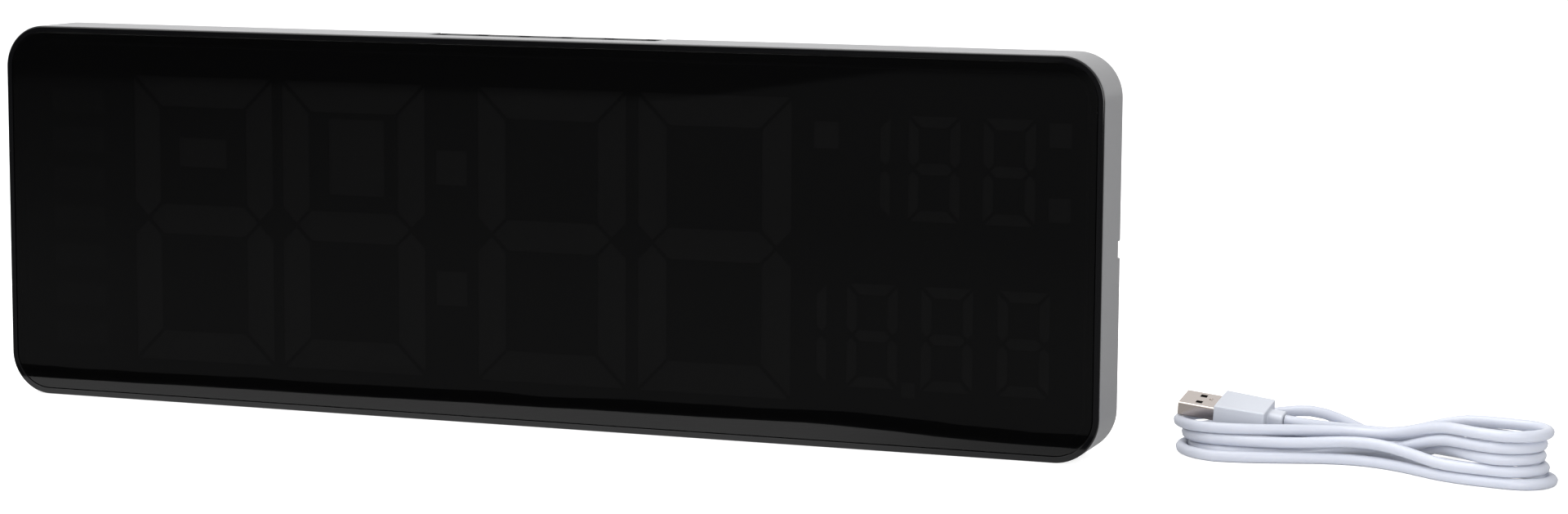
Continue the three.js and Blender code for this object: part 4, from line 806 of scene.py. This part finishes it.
def make_barrel():
    """The power plug's metal barrel, with the bore that the socket's pin goes into."""
    start = LEAD_DIAMETER + DC_LENGTH + 2 * GAP
    bore = BARREL_LENGTH - BORE_START + OVERRUN
    middle = (start + BARREL_LENGTH / 2, 0, 0)
    piece = rod("plug_sleeve", middle, BARREL_RADIUS, BARREL_LENGTH, "X", ROUND_SIDES)
    cut(piece, rod("bore", (start + BORE_START + bore / 2, 0, 0), BORE_RADIUS, bore, "X", BORE_SIDES))
    return carry(soften(piece, 0.2, 3), dc_frame())


# Buttons and screws, in millimetres
BUTTON_COUNT = 5
BUTTON_PITCH = 15.4
BUTTON_Y = STRIP_FRONT + 5.4
BUTTON_HALF_LENGTH = 5.5
BUTTON_HALF_WIDTH = 2.8
BUTTON_FOOT = 125.8
BUTTON_ROUND = 1.2
HEAD_RADIUS = 1.9
HEAD_HEIGHT = 1
HEAD_CROWN = 0.45
CROSS_HALF_LENGTH = 1.1
CROSS_HALF_WIDTH = 0.2
CROSS_FLOOR = 0.45
SHANK_RADIUS = 1
SHANK_LENGTH = 4.6
SHANK_OVERLAP = 0.05


def button_x(number):
    return BUTTON_PITCH * (number - (BUTTON_COUNT - 1) / 2)


def make_button(number):
    xs = around(button_x(number), BUTTON_HALF_LENGTH)
    piece = block(f"key_{number + 1}", xs, around(BUTTON_Y, BUTTON_HALF_WIDTH), (BUTTON_FOOT, HEIGHT))
    round_edges(piece, along(2), BUTTON_ROUND, 6)
    return soften(piece, 0.45, 4)


def make_screw(name, x, y, z):
    """A pan-head screw with a cross recess, its head towards the back."""
    top = y + HEAD_HEIGHT
    screw = rod(name, (x, y + HEAD_HEIGHT / 2, z), HEAD_RADIUS, HEAD_HEIGHT, "Y", ROUND_SIDES)
    round_edges(screw, lambda a, b: min(a.y, b.y) > top - NEAR, HEAD_CROWN, 5)
    for half_x, half_z in ((CROSS_HALF_LENGTH, CROSS_HALF_WIDTH), (CROSS_HALF_WIDTH, CROSS_HALF_LENGTH)):
        cut(screw, block("slot", around(x, half_x), (y + CROSS_FLOOR, top + OVERRUN), around(z, half_z)))
    middle = y + SHANK_OVERLAP - SHANK_LENGTH / 2
    join(screw, rod("shank", (x, middle, z), SHANK_RADIUS, SHANK_LENGTH, "Y", BORE_SIDES))
    return soften(screw, 0.06, 2)


def copy_of(piece, name, offset):
    """Another of the same piece, with a mesh of its own."""
    twin = piece.copy()
    twin.data = piece.data.copy()
    twin.data.transform(Matrix.Translation(Vector(offset) * MM))
    twin.name = name
    twin.data.name = name
    bpy.context.scene.collection.objects.link(twin)
    return twin


# Back cover and cell door, in millimetres
COVER_FRONT = 9.8
ROUND_CUT = 6
COVER_INSET = WALL + GAP
COVER_SCREW_X = WIDTH * 0.16
SCREW_SEAT = REAR - HEAD_HEIGHT
SCREW_INSET = WALL + 2.4
SINK_RADIUS = 2.2
SINK_DEPTH = 1.3
POCKET_WALL = 1.5
POCKET_TOP = 10.2
FUSE = 0.6
HINGE_Y = 9
HINGE_RADIUS = 2.7
HINGE_BORE_RADIUS = 1.5
HINGE_BOSS_Z = (9.3, 17.7)
HINGE_BORE_TOP = 16.7
RECESS_X = (162, 194)
RECESS_FLOOR = 2.6
RECESS_HALF = 7.5
SOCKET_Y = 6.1
SOCKET_HOLE_RADIUS = 2.6
SOCKET_HOLE_LENGTH = 4
MAIN_X = 68.2
MAIN_LENGTH = 92
CELL_AT = (MAIN_X + MAIN_LENGTH * 0.36, SOCKET_Z)
BUZZER_AT = (MAIN_X + MAIN_LENGTH - 14, SOCKET_Z + 17)
BUZZER_HOLES = 6
BUZZER_HOLE_CIRCLE = 3.4
BUZZER_HOLE_RADIUS = 1
VENT_COUNT = 12
VENT_PITCH = 5.2
VENT_HALF = 1
VENT_Z = (31, 47)
VENT_ROUND = 0.98
KEYHOLE_X = WIDTH * 0.33
KEYHOLE_Z = HEIGHT * 0.68
KEYHOLE_RADIUS = 4.5
KEYHOLE_SLOT = 2.4
KEYHOLE_LENGTH = 10
KEYHOLE_ROUND = 2.38
DOOR_HALF_WIDTH = 18
DOOR_HALF_HEIGHT = 13.5
DOOR_X = around(CELL_AT[0], DOOR_HALF_WIDTH)
DOOR_ROUND = 2
DOOR_SCREW_X = DOOR_X[1] - 4
GRIP_COUNT = 3
GRIP_START = 6
GRIP_PITCH = 3
GRIP_HALF = 0.75
GRIP_DEPTH = 0.6
GRIP_ROUND = 0.74


def gather(pieces):
    """Joins cutters that don't meet into one."""
    pick(pieces[0])
    for piece in pieces[1:]:
        piece.select_set(True)
    bpy.ops.object.join()
    return pieces[0]


def slot_cutter(xs, ys, zs, axis, radius):
    return round_edges(block("slot", xs, ys, zs), along(axis), radius, 6)


def upright(name, x, radius, zs, sides):
    """A round bar about the hinge line of a foot."""
    low, high = zs
    return rod(name, (x, HINGE_Y, (low + high) / 2), radius, high - low, "Z", sides)


def screw_places():
    """The cover's corners, drawn in along the diagonal, and two places under the top edge."""
    corner = CORNER - (CORNER - SCREW_INSET) * math.sqrt(0.5)
    x = WIDTH / 2 - corner
    places = [(at, z) for at in (-x, x) for z in (corner, HEIGHT - corner)]
    return places + [(side * COVER_SCREW_X, HEIGHT - SCREW_INSET) for side in (-1, 1)]


def screw_sink(x, z):
    at = (x, REAR + (OVERRUN - SINK_DEPTH) / 2, z)
    return rod("sink", at, SINK_RADIUS, SINK_DEPTH + OVERRUN, "Y", HOLE_SIDES)


def cover_bodies():
    """What the cover's plate carries: button strip, plug recess, foot pockets, hinges."""
    strip = block("strip_panel", around(0, STRIP_HALF), (STRIP_FRONT, REAR), STRIP_Z)
    rear = COVER_FRONT + FUSE
    recess = block("plug_recess", (RECESS_X[0] - POCKET_WALL, RECESS_X[1] + POCKET_WALL),
                   (RECESS_FLOOR - POCKET_WALL, rear), around(SOCKET_Z, RECESS_HALF + POCKET_WALL))
    bodies = [strip, recess]
    for side in (-1, 1):
        left, right = foot_pocket(side)
        bodies.append(block("foot_pocket", (left - POCKET_WALL, right + POCKET_WALL),
                            (POCKET_FRONT - POCKET_WALL, rear), (COVER_INSET, POCKET_TOP + POCKET_WALL)))
        bodies.append(upright("hinge_boss", side * FOOT_X, HINGE_RADIUS, HINGE_BOSS_Z, HOLE_SIDES))
    return bodies


def cover_openings():
    """The openings, none of which meets another."""
    beyond = REAR + OVERRUN
    through = (COVER_FRONT - OVERRUN, beyond)
    cutters = [block("recess", RECESS_X, (RECESS_FLOOR, beyond), around(SOCKET_Z, RECESS_HALF))]
    for side in (-1, 1):
        cutters.append(block("pocket", foot_pocket(side), (POCKET_FRONT, beyond), (-OVERRUN, POCKET_TOP)))
    strip = (STRIP_Z[0] - OVERRUN, STRIP_Z[1] + OVERRUN)
    width = around(BUTTON_Y, BUTTON_HALF_WIDTH + GAP)
    for number in range(BUTTON_COUNT):
        xs = around(button_x(number), BUTTON_HALF_LENGTH + GAP)
        cutters.append(slot_cutter(xs, width, strip, 2, BUTTON_ROUND))
    for number in range(VENT_COUNT):
        x = VENT_PITCH * (number - (VENT_COUNT - 1) / 2)
        cutters.append(slot_cutter(around(x, VENT_HALF), through, VENT_Z, 1, VENT_ROUND))
    for number in range(BUZZER_HOLES):
        angle = 2 * math.pi / BUZZER_HOLES * number
        x = BUZZER_AT[0] + BUZZER_HOLE_CIRCLE * math.cos(angle)
        z = BUZZER_AT[1] + BUZZER_HOLE_CIRCLE * math.sin(angle)
        cutters.append(rod("buzzer_hole", (x, REAR, z), BUZZER_HOLE_RADIUS, ROUND_CUT, "Y", BORE_SIDES))
    door = (DOOR_X[0] - GAP, DOOR_X[1] + GAP)
    cutters.append(slot_cutter(door, through, around(CELL_AT[1], DOOR_HALF_HEIGHT + GAP), 1, DOOR_ROUND))
    return cutters


def cover_holes():
    """The holes that meet the openings, and apart from them the slots that meet the keyholes' heads."""
    beyond = REAR + OVERRUN
    mouth = (RECESS_X[1] - OVERRUN, WIDTH / 2)
    cutters = [block("side_mouth", mouth, (NOTCH_FRONT, beyond), around(SOCKET_Z, NOTCH_HALF))]
    at = (RECESS_X[0] - OVERRUN, SOCKET_Y, SOCKET_Z)
    cutters.append(rod("socket_hole", at, SOCKET_HOLE_RADIUS, SOCKET_HOLE_LENGTH, "X", HOLE_SIDES))
    bore = (HINGE_BOSS_Z[0], HINGE_BORE_TOP)
    for side in (-1, 1):
        head = (side * KEYHOLE_X, REAR, KEYHOLE_Z)
        cutters.append(rod("keyhole_head", head, KEYHOLE_RADIUS, ROUND_CUT, "Y", ROUND_SIDES))
        cutters.append(upright("hinge_bore", side * FOOT_X, HINGE_BORE_RADIUS, bore, BORE_SIDES))
    cutters += [screw_sink(x, z) for x, z in screw_places()]
    through = (COVER_FRONT - OVERRUN, beyond)
    rise = (KEYHOLE_Z, KEYHOLE_Z + KEYHOLE_LENGTH + KEYHOLE_SLOT)
    slots = []
    for side in (-1, 1):
        slots.append(slot_cutter(around(side * KEYHOLE_X, KEYHOLE_SLOT), through, rise, 1, KEYHOLE_ROUND))
    return cutters, slots


def make_back_cover():
    piece = plate("back_cover", COVER_INSET, COVER_FRONT, REAR)
    join(piece, *cover_bodies())
    cut(piece, gather(cover_openings()))
    holes, slots = cover_holes()
    cut(piece, gather(holes), gather(slots))
    return soften(piece, 0.25, 3)


def make_cell_door():
    piece = block("cell_door_panel", DOOR_X, (COVER_FRONT, REAR), around(CELL_AT[1], DOOR_HALF_HEIGHT))
    round_edges(piece, along(1), DOOR_ROUND, 8)
    grips = []
    for number in range(GRIP_COUNT):
        xs = around(DOOR_X[0] + GRIP_START + number * GRIP_PITCH, GRIP_HALF)
        depth = (REAR - GRIP_DEPTH, REAR + OVERRUN)
        grips.append(slot_cutter(xs, depth, around(CELL_AT[1], DOOR_HALF_HEIGHT / 2), 1, GRIP_ROUND))
    cut(piece, gather(grips), screw_sink(DOOR_SCREW_X, CELL_AT[1]))
    return soften(piece, 0.3, 3)


# Feet, in millimetres
FOOT_Y = (6.3, 11.7)
FOOT_Z = (0.3, 9.9)
FOOT_BORE_START = 1
NICK_START = 2
NICK_LENGTH = 9
NICK_DEPTH = 2
NICK_Z = (2.7, 7.5)
NICK_ROUND = 1
HOLLOW_HALF = 11.5
HOLLOW_DEPTH = 1.4
HOLLOW_Z = (1.5, 8.7)
HOLLOW_ROUND = 0.8


def make_foot(side):
    """A bar with a round hinge end, a finger nick near its tip and a hollow behind."""
    name = "stand_bar_left" if side < 0 else "stand_bar_right"
    tip = FOOT_X - FOOT_LENGTH
    piece = block(name, sorted((side * tip, side * FOOT_X)), FOOT_Y, FOOT_Z)
    join(piece, upright("hinge_end", side * FOOT_X, HINGE_RADIUS, FOOT_Z, HINGE_SIDES))
    nick = sorted((side * (tip + NICK_START), side * (tip + NICK_START + NICK_LENGTH)))
    depth = (FOOT_Y[1] - NICK_DEPTH, FOOT_Y[1] + OVERRUN)
    cut(piece, slot_cutter(nick, depth, NICK_Z, 1, NICK_ROUND))
    hollow = around(side * (tip + FOOT_LENGTH / 2), HOLLOW_HALF)
    depth = (FOOT_Y[0] - OVERRUN, FOOT_Y[0] + HOLLOW_DEPTH)
    cut(piece, slot_cutter(hollow, depth, HOLLOW_Z, 1, HOLLOW_ROUND))
    bore = (FOOT_BORE_START, FOOT_Z[1] + OVERRUN)
    cut(piece, upright("bore", side * FOOT_X, HINGE_BORE_RADIUS, bore, BORE_SIDES))
    return soften(piece, 0.35, 4)


# Painted reflection: the table's mirrored edge and the room in front of it, painted on the floor for
# mirrored rays, in metres and as brightness.
# A ripple is given as the scale and detail of its noise and its size.
TABLE_RIPPLE = (16, 2, 0.006)
TABLE_SLANT = 0.037
TABLE_CORNER = (0.08, 0.18)
TABLE_CORNER_CUT = 0.018
TABLE_EDGE = -0.051
TABLE_FOOT = -0.076
TABLE_BLUR = 0.001
FOOT_RIPPLE = (14, 5, 0.022)
TABLE_LEVELS = (0.95, 0.55)
ROOM_FADE = (-1.42, -1.3)
ROOM_OPENING = (-0.48, -0.4)
ROOM_DEEPER = 0.36
ROOM_NEAR = (-0.7, -0.12)
ROOM_NEAR_LEVEL = 0.03
ROOM_LEFT = (-1.2, -0.2)
ROOM_LEFT_SHARE = 0.35
ROOM_LEVELS = (0.02, 0.09)
ROOM_DARK = 0.014

# Floor, surroundings and lamps, in metres and watts
FLOOR_SIZE = 12
FLOOR_DROP = 0.0002
FLOOR_GREY = (0.8, 0.8, 0.8, 1)
FLOOR_GLOW = 0.8
WHITE = (1, 1, 1, 1)
WORLD_LIGHT = 0.45
LAMPS = (
    ("overhead", (-0.35, -0.1, 1.4), (-0.1, 0, 0), (1.4, 1.0), 20),
    ("front fill", (-0.9, -1.6, 0.9), (0, 0, 0.05), (1.0, 1.0), 6),
    ("low fill", (0.48, -0.5, 0.16), (0.27, 0.03, 0.01), (0.3, 0.2), 1.1),
)


def wave(tree, scale, detail, size):
    """An uneven line that swings about zero."""
    return math_step(tree, "MULTIPLY_ADD", noise(tree, scale, detail), size, -size * NOISE_MIDDLE)


def painted_room_reflection():
    """Painted reflection for the lens: the pale table by the clock, its dark edge, and then the dim room.
    """
    tree = bpy.data.node_groups.new("painted room reflection", "ShaderNodeTree")
    result = group_sockets(tree, [], [("Level", "NodeSocketFloat")])[1]
    parts = place_parts(tree)
    x, y = parts["X"], parts["Y"]

    def scaled(value, factor, offset):
        return math_step(tree, "MULTIPLY_ADD", value, factor, offset)

    slanted = math_step(tree, "ADD", scaled(x, TABLE_SLANT, y), wave(tree, *TABLE_RIPPLE))
    corner = smooth_step(tree, x, *TABLE_CORNER)
    edge = scaled(corner, -TABLE_CORNER_CUT, slanted)
    table = smooth_step(tree, edge, TABLE_EDGE - TABLE_BLUR, TABLE_EDGE + TABLE_BLUR)
    table_level = scaled(corner, TABLE_LEVELS[1] - TABLE_LEVELS[0], TABLE_LEVELS[0])
    foot = math_step(tree, "ADD", edge, wave(tree, *FOOT_RIPPLE))
    beyond = smooth_step(tree, foot, TABLE_FOOT + TABLE_BLUR, TABLE_FOOT - TABLE_BLUR)
    deep = scaled(smooth_step(tree, x, *ROOM_OPENING), ROOM_DEEPER, y)
    lit = scaled(smooth_step(tree, deep, *ROOM_FADE), ROOM_LEVELS[1] - ROOM_LEVELS[0], ROOM_LEVELS[0])
    near = scaled(smooth_step(tree, y, *ROOM_NEAR), ROOM_NEAR_LEVEL, lit)
    left = scaled(smooth_step(tree, x, *ROOM_LEFT), 1 - ROOM_LEFT_SHARE, ROOM_LEFT_SHARE)
    room = math_step(tree, "MULTIPLY", math_step(tree, "MULTIPLY", near, left), beyond)
    level = math_step(tree, "ADD", scaled(table, table_level, room), ROOM_DARK)
    tree.links.new(level, result.inputs["Level"])
    return tree


def make_floor():
    """A white floor that glows a little for the camera and shows mirrored rays a painted reflection of the
    room.
    """
    deselect()
    bpy.ops.mesh.primitive_plane_add(size=FLOOR_SIZE, location=(0, 0, -FLOOR_DROP))
    floor = settle(bpy.context.object, "floor")
    made = bpy.data.materials.new("studio floor")
    made.use_nodes = True
    tree = made.node_tree
    tree.nodes.clear()
    path = tree.nodes.new("ShaderNodeLightPath")
    matt = shader(tree, "ShaderNodeBsdfDiffuse", Color=FLOOR_GREY)
    both = tree.nodes.new("ShaderNodeAddShader")
    tree.links.new(matt, both.inputs[0])
    tree.links.new(shader(tree, "ShaderNodeEmission", Strength=FLOOR_GLOW), both.inputs[1])
    # Painted reflection: mirrored rays see this painted table edge and room as emission, not a real room
    room = tree.nodes.new("ShaderNodeGroup")
    room.node_tree = painted_room_reflection()
    mirrored = tree.nodes.new("ShaderNodeEmission")
    tree.links.new(room.outputs["Level"], mirrored.inputs["Strength"])
    seen = mixed(tree, path.outputs["Is Camera Ray"], matt, both.outputs[0])
    final = mixed(tree, path.outputs["Is Glossy Ray"], seen, mirrored.outputs[0])
    tree.links.new(final, tree.nodes.new("ShaderNodeOutputMaterial").inputs["Surface"])
    coat(floor, made)


def make_world():
    """White for the camera and for mirrored rays, and dimmer as a light."""
    world = bpy.data.worlds.new("studio")
    bpy.context.scene.world = world
    world.use_nodes = True
    tree = world.node_tree
    tree.nodes.clear()
    path = tree.nodes.new("ShaderNodeLightPath").outputs
    light = shader(tree, "ShaderNodeBackground", Color=WHITE, Strength=WORLD_LIGHT)
    shown = shader(tree, "ShaderNodeBackground", Color=WHITE, Strength=1)
    either = math_step(tree, "MAXIMUM", path["Is Camera Ray"], path["Is Glossy Ray"])
    final = mixed(tree, either, light, shown)
    tree.links.new(final, tree.nodes.new("ShaderNodeOutputWorld").inputs["Surface"])


def make_lamp(name, at, target, size, power):
    data = bpy.data.lights.new(name, "AREA")
    data.shape = "RECTANGLE"
    data.size, data.size_y = size
    data.energy = power
    lamp = bpy.data.objects.new(name, data)
    bpy.context.scene.collection.objects.link(lamp)
    lamp.location = at
    aim = Vector(target) - Vector(at)
    lamp.rotation_mode = "QUATERNION"
    lamp.rotation_quaternion = aim.to_track_quat("-Z", "Y")


# The scene
place_camera()
lead, route, lead_length = make_lead()
dress_nodes()

show(lead, "body", "lead_white", lead_white, "power_lead")
usb_body = show(make_usb_body(), "body", "lead_white", plug_white, "usb_body")
usb_shell = show(make_usb_shell(), "body", "plug_nickel", plug_nickel, "usb_shell")
dc_body = show(make_dc_body(), "body", "lead_white", plug_white, "dc_body")
barrel = show(make_barrel(), "body", "plug_nickel", plug_nickel, "dc_barrel")

show(make_housing(), "body", "housing_grey", satin_grey, "housing")
show(make_ring(), "body", "ring_black", gloss_black, "front_ring")
show(make_lens(), "body", "lens_smoked", smoked, "front_lens")
for number in range(BUTTON_COUNT):
    show(make_button(number), f"button_{number + 1}", "button_black", button_black, f"button_{number + 1}")

show(make_back_cover(), "body", "cover_black", textured_black, "rear_cover")
show(make_cell_door(), "body", "cover_black", textured_black, "cell_door")
show(make_foot(-1), "foot_left", "cover_black", textured_black, "foot_left")
show(make_foot(1), "foot_right", "cover_black", textured_black, "foot_right")

first_place, *other_places = screw_places()
first_screw = make_screw("screw_head_1", first_place[0], SCREW_SEAT, first_place[1])
show(first_screw, "body", "screw_steel", screw_steel, "cover_screw_1")
for number, (x, z) in enumerate(other_places, 2):
    twin = copy_of(first_screw, f"screw_head_{number}", (x - first_place[0], 0, z - first_place[1]))
    show(twin, "body", "screw_steel", screw_steel, f"cover_screw_{number}")
offset = (DOOR_SCREW_X - first_place[0], 0, CELL_AT[1] - first_place[1])
show(copy_of(first_screw, "door_screw_head", offset), "body", "screw_steel", screw_steel, "door_screw")

make_floor()
make_world()
for lamp in LAMPS:
    make_lamp(*lamp)

view = bpy.context.scene.view_settings
view.view_transform = "Standard"

bpy.context.view_layer.update()
